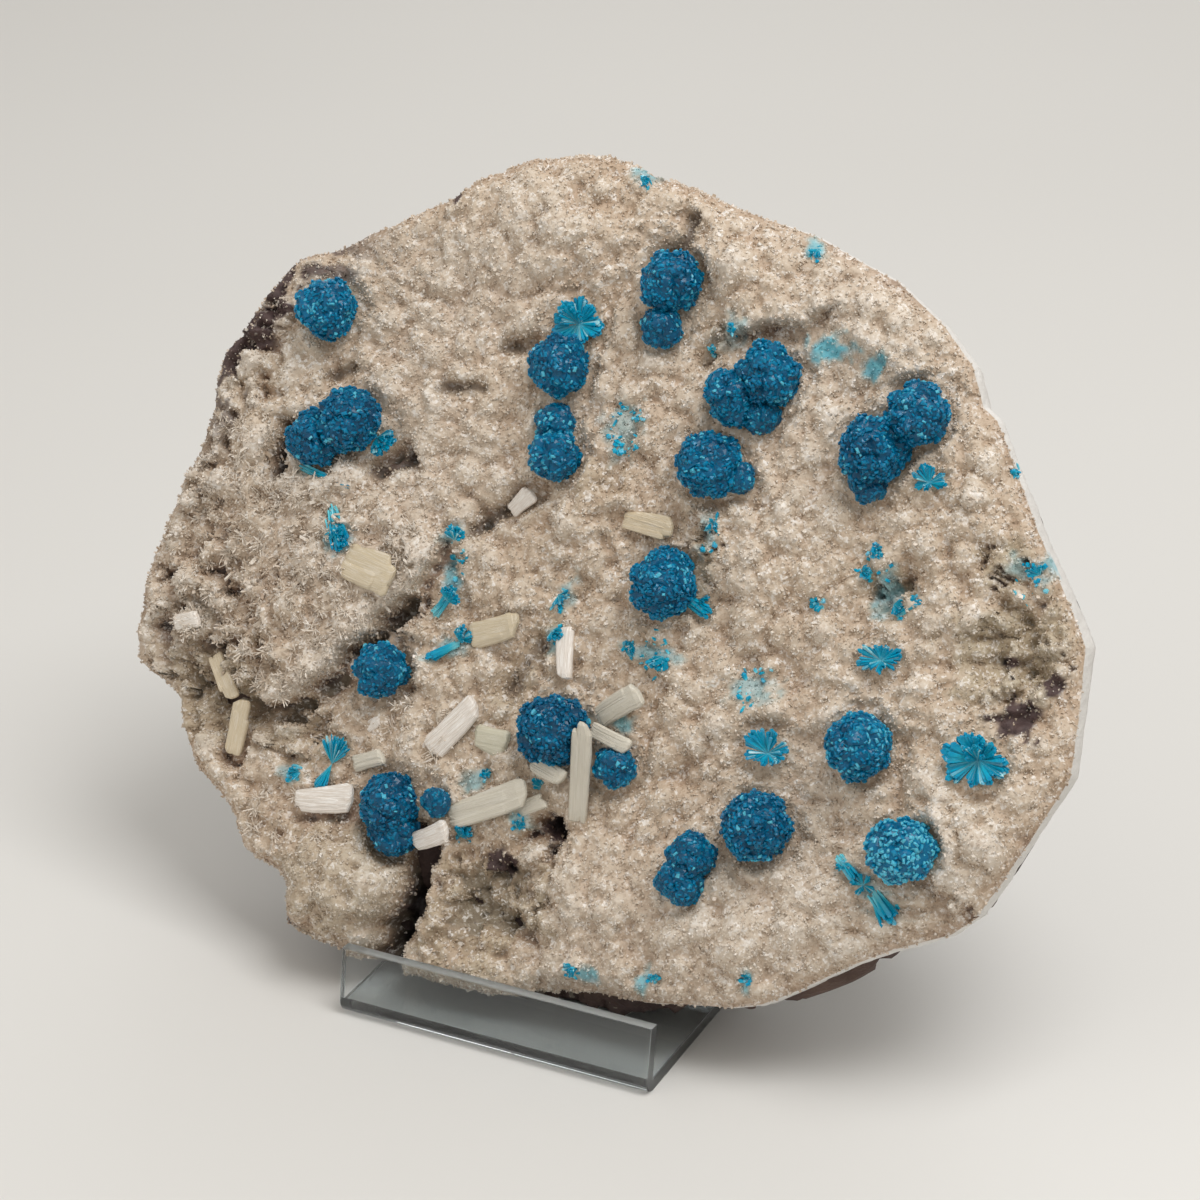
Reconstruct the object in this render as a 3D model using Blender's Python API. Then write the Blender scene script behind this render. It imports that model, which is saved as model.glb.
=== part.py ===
"""Cavansite on stilbite: a leaning plate of basalt with a crust of small
crystals, blue balls and sprays of cavansite and larger pale blades on it,
resting in a clear display stand bent from one sheet.

The plate has its own frame, in millimetres: u runs to the right along its
face, v runs up along its face, h stands out of its face towards the viewer.
The stand's frame has x to the right, y to the rear and z up, with its origin
under the front of the lip. All of it is moved at the end, so that the floor
is z = 0 and the middle of the whole is above the origin.
"""
import math
import random

import bmesh
import bpy
import numpy as np
from mathutils import Matrix, Vector
from mathutils.bvhtree import BVHTree

MM = 0.001

# Stand: one bent sheet, sizes in mm
STAND_WIDTH = 50.0
SHEET = 2.0
LIP_HEIGHT = 10.8
LIP_LEAN = math.radians(8.4)
BACKREST_TOP = 60.0
FOOT_Y = 84.0
FRONT_BEND = 1.15
REAR_BEND = 2.6
CROWN_BEND = 4.0

# Plate: how it leans, where its face starts and how thick it is, in mm
LEAN = math.radians(25.0)
FACE_FOOT = (6.5, 10.4)
FACE_U = 2.5
FACE_V = 57.9
THICKNESS = 25.0
GAP = 0.3
CELLS = 32

# The face's outline, read off the photograph, anticlockwise from the right
OUTLINE = [
    (72, 5), (68.5, 10.5), (65, 16), (59.5, 24.5), (53.5, 33.5), (51, 35),
    (48.5, 40), (43.5, 45), (35.5, 50), (26.5, 53), (22, 54.5), (10, 56.5),
    (1, 58.5), (-8, 60), (-12.5, 60.5), (-18.5, 59.5), (-24, 58.5),
    (-29.5, 55.5), (-31, 54.5), (-34.5, 50.5), (-38.5, 48), (-43, 44.5),
    (-48, 41.5), (-51.5, 39.5), (-58.5, 37.5), (-60.5, 35.5), (-63, 32),
    (-65.5, 29), (-68, 23), (-68.5, 18.5), (-68, 13.5), (-69, 8), (-70, 4),
    (-72, -4), (-73.5, -10), (-74, -13.5), (-73, -22), (-73, -25.5),
    (-71.5, -27), (-66, -30), (-64.5, -32.5), (-59, -39.5), (-56, -41.5),
    (-50.5, -44.5), (-49, -49), (-42, -53), (-41, -55), (-40.5, -59.5),
    (-30, -61), (-20.5, -61.5), (-10.5, -61.5), (-2.5, -61), (1, -59.5),
    (5, -58.5), (11, -57.5), (19, -57), (25, -56), (31.5, -55), (36, -53.5),
    (41.5, -50), (47, -46), (53, -42), (61, -38), (65, -34), (67.5, -29),
    (71.5, -19.5), (74, -13), (73.5, -5.5),
]

# Broad swells and hollows of the crust: u, v, half width, half height, rise
SWELLS = [
    (-31.5, -51, 9, 8, 5.5), (64.5, 3, 9, 10, -3.2), (43, 7, 3, 3, -1.4),
    (-7, -48, 12, 9, -3), (-60, -27, 10, 7, -3), (-1, -37, 3, 3, -3),
    (-50, 5, 14, 16, 2), (-22, 48, 14, 9, 2), (9, 49, 8, 6, 2),
    (34, 42, 9, 7, 2), (49, 22, 9, 9, 1.5), (27, -42, 12, 9, 2.2),
    (6, -47, 8, 7, 2), (45, -40, 10, 8, 1.6), (60, -20, 7, 9, 1.8),
    (26, 10, 9, 8, 1.8), (23, -14, 8, 6, 1.4), (-30, 24, 9, 7, 1.8),
    (-20, -50, 5, 6, 1.5), (-4, 10, 6, 6, 1.6), (-33, -22, 7, 5, -1.5),
]
# Rounded lumps of crystals on it: u, v, radius, rise
LUMPS = [
    (-50, 6, 5, 1.6), (-60, 12, 5, 1.5), (-43, 34, 5, 1.5),
    (-35, 31, 5, 1.6), (-33, 42, 5, 1.6), (-23, 52, 5, 1.6),
    (-16, 49, 5, 1.8), (-4, 51, 5, 1.6), (9, 48, 5, 1.7),
    (17, 45, 4, 1.5), (28, 48, 5, 1.6), (34, 44, 5, 1.7),
    (40, 40, 4, 1.5), (48, 29, 5, 1.6), (53, 19, 5, 1.6),
    (43, 14, 5, 1.5), (35, 13, 4, 1.5), (27, 20, 5, 1.6),
    (28, 29, 5, 1.7), (0, 31, 4, 1.5), (-4, 36, 4, 1.5),
    (-9, 47, 5, 1.6), (-26, 34, 5, 1.6), (-33, 18, 5, 1.6),
    (-24, 15, 5, 1.6), (-1, 12, 5, 1.7), (11, 8, 4, 1.5),
    (21, 7, 5, 1.6), (25, 0, 5, 1.6), (35, -2, 5, 1.6),
    (38, -9, 5, 1.6), (23, -19, 5, 1.6), (15, -12, 5, 1.7),
    (13, -30, 5, 1.7), (8, -39, 5, 1.7), (3, -46, 5, 1.8),
    (13, -44, 5, 1.8), (23, -48, 5, 1.8), (32, -45, 5, 1.8),
    (39, -37, 5, 1.6), (46, -21, 4, 1.5), (60, -21, 5, 1.7),
    (65, -24, 4, 1.6), (48, -7, 5, 1.6), (52, 4, 5, 1.5),
    (-19, -2, 5, 1.5), (-11, -5, 4, 1.5), (-7, 5, 4, 1.5),
    (-25, -23, 5, 1.5), (-39, -27, 4, 1.5), (-30, -50, 5, 1.4),
    (-37, -47, 5, 1.5), (-28, -44, 3.5, 1.2), (-15, -54, 5, 1.6),
    (-66, -12, 5, 1.6), (-66, 2, 5, 1.6), (-57, -5, 5, 1.5),
    (-46, -12, 5, 1.5), (-63, 22, 4, 1.2), (-57, -36, 5, 1.5),
]
# Steps: a line whose left side stands high, its rise, its drop and its reach
LEDGES = [
    ([(-57, -27), (-51, -28), (-43, -24), (-37, -17), (-31, -10), (-27, -1)],
     3.2, 2.4, 16),
    ([(14.5, 39), (21.5, 41.5), (25, 43.5)], 2.2, 1.6, 8),
    ([(52.5, -29), (57.5, -30), (61, -32.5), (63.5, -34)], 2.2, 1.6, 8),
    ([(-23, -41), (-20, -47), (-21, -52), (-23.5, -60)], 1.5, 1, 6),
]
# Crevices: a line, its half width and its depth
CREVICES = [
    ([(-22.5, -40), (-20, -47), (-21, -52), (-23.5, -61)], 2.2, 8),
    ([(-53.5, 14), (-55.5, 10.5), (-55.5, 6)], 2.2, 4.5),
    ([(3.5, 54), (3, 50), (-1, 47)], 1.8, 3),
    ([(-30.5, 23.5), (-24, 24.5)], 1.6, 2.5),
    ([(-22, 31), (-17.5, 32)], 1.5, 2),
    ([(-21.5, 4), (-17.5, 7.5), (-15.5, 9.5)], 1.6, 3),
    ([(-7, -10), (-9.5, -14), (-11, -18)], 2.6, 2.2),
    ([(9, 34), (11, 39)], 1.6, 2),
    ([(-39, 9.5), (-34.5, 10.5)], 1.8, 2),
    ([(-49, 22), (-46, 24)], 1.5, 2),
    ([(-37, -17), (-31, -10), (-27, -1)], 1.8, 2.6),
]

# Cavansite: each growth is a list of its lobes: u, v, radius, kind
CAVANSITE = [
    [(-50.7, 31.9, 4.7, "ball")],
    [(-43.3, 16.3, 5.3, "ball"), (-48.3, 12.7, 4.7, "ball"), (-39.6, 14.4, 3.9, "fan")],
    [(-12.1, 29.7, 4.6, "ball"), (-11.1, 36.2, 4.7, "rosette")],
    [(-10.1, 16.9, 4.0, "ball"), (-11.2, 21.5, 3.0, "ball")],
    [(2.7, 44.3, 4.6, "ball"), (2.6, 37.8, 3.2, "ball")],
    [(19.7, 33.6, 4.9, "ball"), (15.4, 29.9, 4.4, "ball"), (19.8, 28.0, 2.9, "ball")],
    [(14.0, 19.6, 5.0, "ball"), (18.5, 18.7, 2.4, "ball")],
    [(37.5, 26.0, 5.3, "ball"), (42.7, 32.1, 4.7, "ball"), (37.3, 21.2, 2.9, "ball")],
    [(46.0, 23.0, 3.0, "rosette")],
    [(10.5, 1.8, 5.3, "ball"), (15.2, 0.6, 2.4, "fan")],
    [(-31.6, -18.9, 4.2, "ball")],
    [(-2.1, -21.9, 5.6, "ball")],
    [(8.2, -25.2, 3.2, "ball")],
    [(-26.2, -38.2, 5.0, "ball"), (-24.8, -42.2, 3.6, "ball")],
    [(-18.6, -35.9, 2.4, "ball")],
    [(43.8, -14.5, 5.0, "ball")],
    [(60.7, -12.9, 5.0, "rosette")],
    [(31.6, -28.4, 5.4, "ball")],
    [(22.6, -34.9, 3.6, "ball"), (22.0, -38.6, 3.6, "ball")],
    [(53.1, -27.3, 5.0, "ball")],
    [(30.3, -18.4, 4.1, "rosette")],
    [(43.8, -2.4, 3.5, "rosette")],
    [(-37.2, -34.4, 4.3, "bow")],
    [(47.6, -33.4, 2.4, "rosette")],
    [(-23.5, -7.0, 2.8, "fan")],
    [(-20.4, -12.4, 2.8, "fan")],
]

# Larger blades of stilbite: from, to (u, v), width, how far the end rises
BLADES = [
    (-54.5, -36.5, -53.6, -27.8, 3.0, 1.5), (-21.8, -28.3, -14.4, -21.8, 3.4, 2),
    (-41.6, -40.8, -32.8, -39.9, 3.6, 1), (-33.4, -33.6, -28.2, -31.0, 2.6, 1.5),
    (-14.0, -25.6, -9.6, -27.2, 3.4, 1), (3.6, -34.6, 4.4, -20.2, 2.6, 6.5),
    (8.8, -20.5, 14.4, -21.6, 2.2, 1.5), (5.6, -15.8, 12.4, -12.4, 3.4, 3),
    (-16.6, -40.9, -4.6, -31.4, 3.8, 3), (-22.6, -47.4, -16.6, -43.4, 3.2, 2.5),
    (-39.4, -3.0, -31.6, -5.4, 5.6, 1.5), (-16.4, -12.0, -10.4, -9.6, 3.4, 2),
    (-16.5, 7.8, -12.8, 11.6, 2.6, 2), (2.0, 9.8, 10.6, 9.4, 3.0, 2),
    (-66.9, -18.8, -61.8, -17.0, 3.6, 1),
]


def to_world(u, v, h):
    """A point of the plate's frame in the stand's frame, in mm."""
    s, c = math.sin(LEAN), math.cos(LEAN)
    x = u + FACE_U
    y = FACE_FOOT[0] + (v + FACE_V) * s - h * c
    z = FACE_FOOT[1] + (v + FACE_V) * c + h * s
    return x, y, z


ORIGIN = Vector(to_world(0.0, 0.0, 0.0)) * MM
AXES = Matrix((
    (1.0, 0.0, 0.0),
    (0.0, math.sin(LEAN), -math.cos(LEAN)),
    (0.0, math.cos(LEAN), math.sin(LEAN)),
))
PLATE = Matrix.Translation(ORIGIN) @ AXES.to_4x4()

ANGLES = np.array([math.atan2(v, u) for u, v in OUTLINE])
RADII = np.array([math.hypot(u, v) for u, v in OUTLINE])


def outline_radius(theta):
    """Distance from the plate's middle to its outline, at an angle."""
    return np.interp(theta, ANGLES, RADII, period=2 * math.pi)


def along(line, u, v):
    """Distance to a broken line, the side of it, and how far past its ends."""
    best = np.full(np.shape(u), 1e9)
    side = np.zeros(np.shape(u))
    past = np.zeros(np.shape(u))
    last = len(line) - 2
    for i in range(len(line) - 1):
        (au, av), (bu, bv) = line[i], line[i + 1]
        du, dv = bu - au, bv - av
        size = math.hypot(du, dv)
        t = ((u - au) * du + (v - av) * dv) / size
        flat = np.clip(t, 0, size)
        d = np.hypot(u - au - flat * du / size, v - av - flat * dv / size)
        turn = np.sign(du * (v - av) - dv * (u - au))
        over = np.zeros(np.shape(u))
        if i == 0:
            over = np.maximum(over, -t)
        if i == last:
            over = np.maximum(over, t - size)
        near = d < best
        best = np.where(near, d, best)
        side = np.where(near, turn, side)
        past = np.where(near, over, past)
    return best, side, past


def relief(u, v, edge):
    """Height of the crust over the plate's plane, edge = mm to the rim."""
    h = 0.6 * np.sin(u / 15 + 0.6) * np.sin(v / 12 - 0.4)
    for cu, cv, ru, rv, rise in SWELLS:
        q = ((u - cu) / ru) ** 2 + ((v - cv) / rv) ** 2
        h = h + rise * np.exp(-q ** 1.4)
    for line, high, low, reach in LEDGES:
        d, side, past = along(line, u, v)
        up = 0.5 + 0.5 * np.tanh(side * d / 0.9)
        fade = np.exp(-(past / 4) ** 2)
        step = up * high * np.exp(-d / reach) - (1 - up) * low * np.exp(-d / 5)
        h = h + fade * step
    for line, width, depth in CREVICES:
        d, side, past = along(line, u, v)
        h = h - depth * np.exp(-(d / width) ** 2)
    top = np.zeros(np.shape(u))
    for cu, cv, radius, rise in LUMPS:
        q = 1 - ((u - cu) ** 2 + (v - cv) ** 2) / radius ** 2
        top = np.maximum(top, rise * np.sqrt(np.clip(q, 0, 1)))
    h = h + top
    theta = np.arctan2(v, u)
    drop = 1.6 + 3.2 * np.exp(-((theta - 2.62) / 0.28) ** 2)
    width = 4 + 2.5 * np.exp(-((theta - 2.62) / 0.28) ** 2)
    return h - drop * np.clip(1 - edge / width, 0, 1) ** 2


def seats(u, v, h):
    """Flatten what would stand up beside the crystals that lie on the crust."""
    for cu, cv, radius, kind in sum(CAVANSITE, []):
        level = float(relief(np.array(cu), np.array(cv), 20.0)) - 0.4
        near = np.hypot(u - cu, v - cv) < radius + 2.6
        h = np.where(near, np.minimum(h, level), h)
    for au, av, bu, bv, width, rise in BLADES:
        mid = (np.array((au + bu) / 2), np.array((av + bv) / 2))
        level = float(relief(mid[0], mid[1], 20.0)) - 0.2
        d, side, past = along([(au, av), (bu, bv)], u, v)
        near = d < width / 2 + 2.2
        h = np.where(near, np.minimum(h, level), h)
    return h


def waves(theta, level, size):
    """A broken, uneven wall: a repeatable wobble round the plate."""
    a = np.sin(5 * theta + 2.1 * level) + 0.7 * np.sin(11 * theta + 4.7 * level)
    return size * (a + 0.5 * np.sin(23 * theta + 1.3 * level))


def place(x, y, level):
    """Carry a point of the flat starting grid to the plate's frame.

    The square grid becomes a disc and then the outline. Level 0 is the
    crust, 1 to 5 go down the side, and 6 and 7 are the back.
    """
    swap = np.abs(y) > np.abs(x)
    ring = np.where(swap, y, x)
    safe = np.where(np.abs(ring) < 1e-9, 1.0, ring)
    angle = np.where(swap, math.pi / 2 - math.pi / 4 * x / safe, math.pi / 4 * y / safe)
    cu, cv = ring * np.cos(angle), ring * np.sin(angle)
    theta = np.arctan2(cv, cu)
    rim = outline_radius(theta)
    foot = 3.0 * np.exp(-((theta + 1.38) / 0.24) ** 2)
    foot = foot + 1.0 * np.exp(-((theta + 0.85) / 0.35) ** 2)
    right = 1.4 * np.clip(np.cos(theta - 0.3), 0, 1)
    share = np.abs(ring)
    edge = (1 - share) * rim
    u, v = share * rim * np.cos(theta), share * rim * np.sin(theta)
    crust = seats(u, v, relief(u, v, edge))
    taper = 9 + 5.5 * np.cos(theta) + 1.5 * np.sin(theta)
    inset = right * np.clip(1 - edge / 12, 0, 1)
    h = crust
    steps = [
        (1, -0.2, crust - 1.6, 0.15), (2, 0.5, crust - 3.8, 0.2),
        (3, 0.3, -10.0, 0.4), (4, 0.64, -18.0, 0.7), (5, 1.0, -25.0, 0.6),
        (6, 1.0, -25.0, 0.0), (7, 1.0, -25.0, 0.0),
    ]
    for number, cut, depth, rough in steps:
        here = level == number
        if number <= 2:
            wall = cut + right
        else:
            wall = cut * taper + right
        if number == 3:
            wall = wall - (0.3 * taper) * np.clip(foot, 0, 1) - foot
        wall = wall + waves(theta, number, rough)
        inset = np.where(here, wall * share, inset)
        h = np.where(here, depth + 0 * u, h)
    u = u - inset * np.cos(theta)
    v = v - inset * np.sin(theta)
    bumps = 1.3 * np.sin(u / 7 + 1.3 * np.sin(v / 9)) + 1.1 * np.sin(v / 6 - u / 13)
    clear = (np.abs(u + FACE_U) < STAND_WIDTH / 2 + 11) & (v < 27)
    bumps = np.where(clear | (level > 5), np.clip(bumps, 0, 0.8), bumps)
    h = np.where(level >= 5, h + bumps, h)
    s, c = math.sin(LEAN), math.cos(LEAN)
    lowest = (SHEET + GAP + 0.1 - FACE_FOOT[1] - h * s) / c - FACE_V
    lowest = lowest + 0.9 * np.maximum(0, -21 - h)
    return u, np.maximum(v, lowest), h


def add(name, bm, colour, rough, alpha=1.0):
    """Make an object of a closed bmesh, with its own material."""
    bmesh.ops.triangulate(bm, faces=bm.faces[:])
    bmesh.ops.recalc_face_normals(bm, faces=bm.faces[:])
    if bm.calc_volume(signed=True) < 0:
        bmesh.ops.reverse_faces(bm, faces=bm.faces[:])
    mesh = bpy.data.meshes.new(name)
    bm.to_mesh(mesh)
    bm.free()
    made = bpy.data.objects.new(name, mesh)
    bpy.context.collection.objects.link(made)
    look = bpy.data.materials.new(name + "_look")
    look.use_nodes = True
    shader = look.node_tree.nodes["Principled BSDF"]
    shader.inputs["Base Color"].default_value = (*colour, 1.0)
    shader.inputs["Roughness"].default_value = rough
    shader.inputs["Metallic"].default_value = 0.0
    shader.inputs["Alpha"].default_value = alpha
    mesh.materials.append(look)
    return made


def matrix_plate():
    """The plate: a grid for the crust, rings for its side and back."""
    bm = bmesh.new()
    bmesh.ops.create_grid(bm, x_segments=CELLS, y_segments=CELLS, size=1.0)
    rim = [e for e in bm.edges if e.is_boundary]
    for level, scale in ((1, 1.0), (2, 1.0), (3, 1.0), (4, 1.0), (5, 1.0), (6, 0.72), (7, 0.5)):
        grown = bmesh.ops.extrude_edge_only(bm, edges=rim)["geom"]
        verts = [g for g in grown if isinstance(g, bmesh.types.BMVert)]
        for vert in verts:
            vert.co.x *= scale
            vert.co.y *= scale
            vert.co.z = -float(level)
        rim = [g for g in grown if isinstance(g, bmesh.types.BMEdge)]
    cap = bmesh.ops.contextual_create(bm, geom=rim)["faces"]
    bmesh.ops.poke(bm, faces=cap)
    bm.verts.ensure_lookup_table()
    start = np.array([v.co[:] for v in bm.verts])
    u, v, h = place(start[:, 0], start[:, 1], np.round(-start[:, 2]))
    for vert, cu, cv, ch in zip(bm.verts, u, v, h):
        vert.co = (cu * MM, cv * MM, ch * MM)
    bmesh.ops.triangulate(bm, faces=bm.faces[:])
    ground = BVHTree.FromBMesh(bm)
    bm.transform(PLATE)
    add("matrix", bm, (0.56, 0.47, 0.38), 0.85)
    return ground


def ground_under(ground, points):
    """Highest crust under some (u, v) points, in mm."""
    top = -1e9
    for u, v in points:
        hit = ground.ray_cast(Vector((u * MM, v * MM, 0.03)), Vector((0, 0, -1)))
        if hit[0] is not None:
            top = max(top, hit[0].z / MM)
    return top


def halve(bm, point, normal):
    """Keep the part of a closed solid on the inner side of a plane."""
    geom = bm.verts[:] + bm.edges[:] + bm.faces[:]
    cut = bmesh.ops.bisect_plane(
        bm, geom=geom, dist=1e-7, plane_co=point, plane_no=normal, clear_outer=True)
    edges = [g for g in cut["geom_cut"] if isinstance(g, bmesh.types.BMEdge)]
    edges = [e for e in edges if e.is_boundary]
    if edges:
        bmesh.ops.holes_fill(bm, edges=edges, sides=0)


def knobbed_ball(bm, radius, rng):
    """A ball of radiating crystals: an icosphere with a knob on each face."""
    fine = 2 if radius >= 3.6 else 1
    bmesh.ops.create_icosphere(bm, subdivisions=fine, radius=1.0)
    base = set(bm.verts)
    raised = [f for f in bm.faces if fine == 1 or rng.random() < 0.5]
    bmesh.ops.poke(bm, faces=raised)
    for vert in bm.verts:
        if vert in base:
            reach = rng.uniform(0.90, 0.98)
        else:
            reach = rng.uniform(0.99, 1.05)
        vert.co = vert.co.normalized() * reach * radius * MM


def spray(bm, radius, kind, turn, rng):
    """An open spray of blades: a low cone with a cut-up rim."""
    count = 18
    bmesh.ops.create_cone(
        bm, cap_ends=True, cap_tris=False, segments=count, radius1=1.0, radius2=0.45,
        depth=1.0)
    for vert in bm.verts:
        angle = math.atan2(vert.co.y, vert.co.x)
        tip = rng.uniform(0.80, 1.02)
        if kind == "bow":
            tip *= 0.34 + 0.66 * abs(math.cos(angle - turn)) ** 1.6
        elif kind == "fan":
            tip *= 0.52 + 0.48 * max(0.0, math.cos(angle - turn))
        flat = math.hypot(vert.co.x, vert.co.y) * tip * radius * MM
        rise = (vert.co.z + 0.5) * 0.5 * radius * MM
        vert.co = (flat * math.cos(angle), flat * math.sin(angle), rise)


def crystal_centre(ground, u, v, radius, kind):
    """Base height and centre height of one cavansite, in mm."""
    points = [(u, v)]
    for share in (0.4, 0.75, 1.04):
        for k in range(16):
            a = k * math.pi / 8
            points.append((u + share * radius * math.cos(a), v + share * radius * math.sin(a)))
    base = ground_under(ground, points) + GAP
    lift = 0.42 * radius if kind == "ball" else 0.0
    return base, base + lift


def cavansites(ground):
    """Every growth, cut flat below, with its lobes joined into one solid."""
    rng = random.Random(11)
    turns = {"bow": 1.35, "fan": -0.6, "rosette": 0.0, "ball": 0.0}
    for i, growth in enumerate(CAVANSITE):
        whole = None
        for k, (u, v, radius, kind) in enumerate(growth):
            bm = bmesh.new()
            if kind == "ball":
                knobbed_ball(bm, radius, rng)
                bm.transform(Matrix.Rotation(rng.uniform(0, 6.28), 4, (0.3, 0.5, 0.8)))
            else:
                spray(bm, radius, kind, turns[kind], rng)
            base, centre = crystal_centre(ground, u, v, radius, kind)
            bm.transform(Matrix.Translation((u * MM, v * MM, centre * MM)))
            if kind == "ball":
                halve(bm, (0, 0, base * MM), (0, 0, -1))
            bm.transform(PLATE)
            name = "cavansite_%02d" % (i + 1)
            if k:
                name = name + "_lobe_%d" % k
            lobe = add(name, bm, (0.0, 0.13, 0.27), 0.3)
            if whole is None:
                whole = lobe
                continue
            lobe.hide_render = True
            lobe.display_type = "WIRE"
            join = whole.modifiers.new(name, "BOOLEAN")
            join.operation = "UNION"
            join.solver = "EXACT"
            join.object = lobe


def blades(ground):
    """Tabular blades with a pointed end, lying on the crust or rising."""
    for i, (au, av, bu, bv, width, rise) in enumerate(BLADES):
        size = math.hypot(bu - au, bv - av)
        turn = math.atan2(bv - av, bu - au)
        points = []
        for k in range(9):
            for side in (-0.5, 0.0, 0.5):
                t = k / 8
                points.append((
                    au + t * (bu - au) - side * width * math.sin(turn),
                    av + t * (bv - av) + side * width * math.cos(turn)))
        low = ground_under(ground, points) + GAP
        thick = min(1.6, 0.5 * width)
        half = width / 2
        ends = [(0, -half), (size - half, -half), (size, -0.15 * half),
                (size, 0.15 * half), (size - half, half), (0, half)]
        bm = bmesh.new()
        flat = bm.faces.new([bm.verts.new((x * MM, y * MM, 0)) for x, y in ends])
        top = bmesh.ops.extrude_face_region(bm, geom=[flat])["geom"]
        for vert in top:
            if isinstance(vert, bmesh.types.BMVert):
                vert.co.y *= 0.62
                vert.co.x = vert.co.x * 0.94 + 0.03 * size * MM
                vert.co.z = thick * MM
        tilt = math.asin(min(0.9, rise / size))
        bm.transform(Matrix.Rotation(-tilt, 4, "Y"))
        bm.transform(Matrix.Rotation(turn, 4, "Z"))
        bm.transform(Matrix.Translation((au * MM, av * MM, low * MM)))
        deep = min(v.co.z for v in bm.verts)
        bm.transform(Matrix.Translation((0, 0, low * MM - deep)))
        bm.transform(PLATE)
        add("stilbite_%02d" % (i + 1), bm, (0.75, 0.70, 0.58), 0.25, 0.8)


def line_cross(p, d, q, e):
    """Where two lines of the (y, z) plane meet."""
    k = ((q[0] - p[0]) * e[1] - (q[1] - p[1]) * e[0]) / (d[0] * e[1] - d[1] * e[0])
    return p[0] + k * d[0], p[1] + k * d[1]


def stand_path():
    """The bent sheet's centre line in (y, z), with rounded bends, in mm."""
    half = SHEET / 2
    s, c = math.sin(LEAN), math.cos(LEAN)
    lip = (math.sin(LIP_LEAN), math.cos(LIP_LEAN))
    lip_foot = (half * lip[1], -half * lip[0])
    lip_top = (lip_foot[0] + lip[0] * LIP_HEIGHT, lip_foot[1] + lip[1] * LIP_HEIGHT)
    back = THICKNESS + GAP + half
    back_foot = (FACE_FOOT[0] + back * c, FACE_FOOT[1] - back * s)
    front = line_cross(lip_foot, lip, (0.0, half), (1.0, 0.0))
    rear = line_cross(back_foot, (s, c), (0.0, half), (1.0, 0.0))
    crown = line_cross(back_foot, (s, c), (0.0, BACKREST_TOP + 4), (1.0, 0.0))
    foot = (FOOT_Y, 0.0)
    corners = [lip_top, front, rear, crown, foot]
    path = [lip_top]
    for a, b, d in zip(corners, corners[1:], corners[2:]):
        one = Vector((a[0] - b[0], a[1] - b[1])).normalized()
        two = Vector((d[0] - b[0], d[1] - b[1])).normalized()
        radius = {front: FRONT_BEND, rear: REAR_BEND, crown: CROWN_BEND}[b]
        open_angle = one.angle(two)
        reach = radius / math.tan(open_angle / 2)
        middle = (one + two).normalized() * radius / math.sin(open_angle / 2)
        first = one * reach - middle
        last = two * reach - middle
        whole = math.atan2(first.x * last.y - first.y * last.x, first.dot(last))
        steps = 6
        for k in range(steps + 1):
            spun = first.copy()
            spun.rotate(Matrix.Rotation(whole * k / steps, 2))
            path.append((b[0] + middle.x + spun.x, b[1] + middle.y + spun.y))
    path.append(foot)
    return path


def display_stand():
    """The stand: the bent strip of sheet, drawn side on and extruded."""
    path = stand_path()
    bm = bmesh.new()
    pairs = []
    for k, (y, z) in enumerate(path):
        before = path[max(k - 1, 0)]
        after = path[min(k + 1, len(path) - 1)]
        run = Vector((after[0] - before[0], after[1] - before[1])).normalized()
        side = Vector((-run.y, run.x)) * SHEET / 2
        a, b = Vector((y, z)) + side, Vector((y, z)) - side
        if k == len(path) - 1:
            a -= run * (a.y / run.y)
            b -= run * (b.y / run.y)
        x = -STAND_WIDTH / 2
        pairs.append((
            bm.verts.new((x * MM, a.x * MM, a.y * MM)),
            bm.verts.new((x * MM, b.x * MM, b.y * MM))))
    faces = []
    for (a, b), (c, d) in zip(pairs, pairs[1:]):
        faces.append(bm.faces.new((a, b, d, c)))
    grown = bmesh.ops.extrude_face_region(bm, geom=faces)["geom"]
    moved = [g for g in grown if isinstance(g, bmesh.types.BMVert)]
    bmesh.ops.translate(bm, verts=moved, vec=(STAND_WIDTH * MM, 0, 0))
    add("display_stand", bm, (0.9, 0.93, 0.95), 0.05, 0.25)


def centre_all():
    """Put the floor at z = 0 and the middle of the whole at the origin."""
    corners = []
    for made in bpy.data.objects:
        corners += [v.co for v in made.data.vertices]
    points = np.array([c[:] for c in corners])
    low, high = points.min(axis=0), points.max(axis=0)
    shift = Vector((-(low[0] + high[0]) / 2, -(low[1] + high[1]) / 2, -low[2]))
    for made in bpy.data.objects:
        made.location = shift


for old in list(bpy.data.objects):
    bpy.data.objects.remove(old, do_unlink=True)
crust = matrix_plate()
cavansites(crust)
blades(crust)
display_stand()
centre_all()
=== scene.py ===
"""Cavansite on stilbite, dressed for its portrait: a leaning plate of basalt
under a sugary crust, blue balls and sprays, pale blades, a clear bent stand.

The plate has its own frame in millimetres: u to the right along its face,
v up along its face, h out of its face. Everything is worked out there and
carried to the world by to_world().
"""
import math

import bpy
import numpy as np
from mathutils import Matrix, Vector


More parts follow.
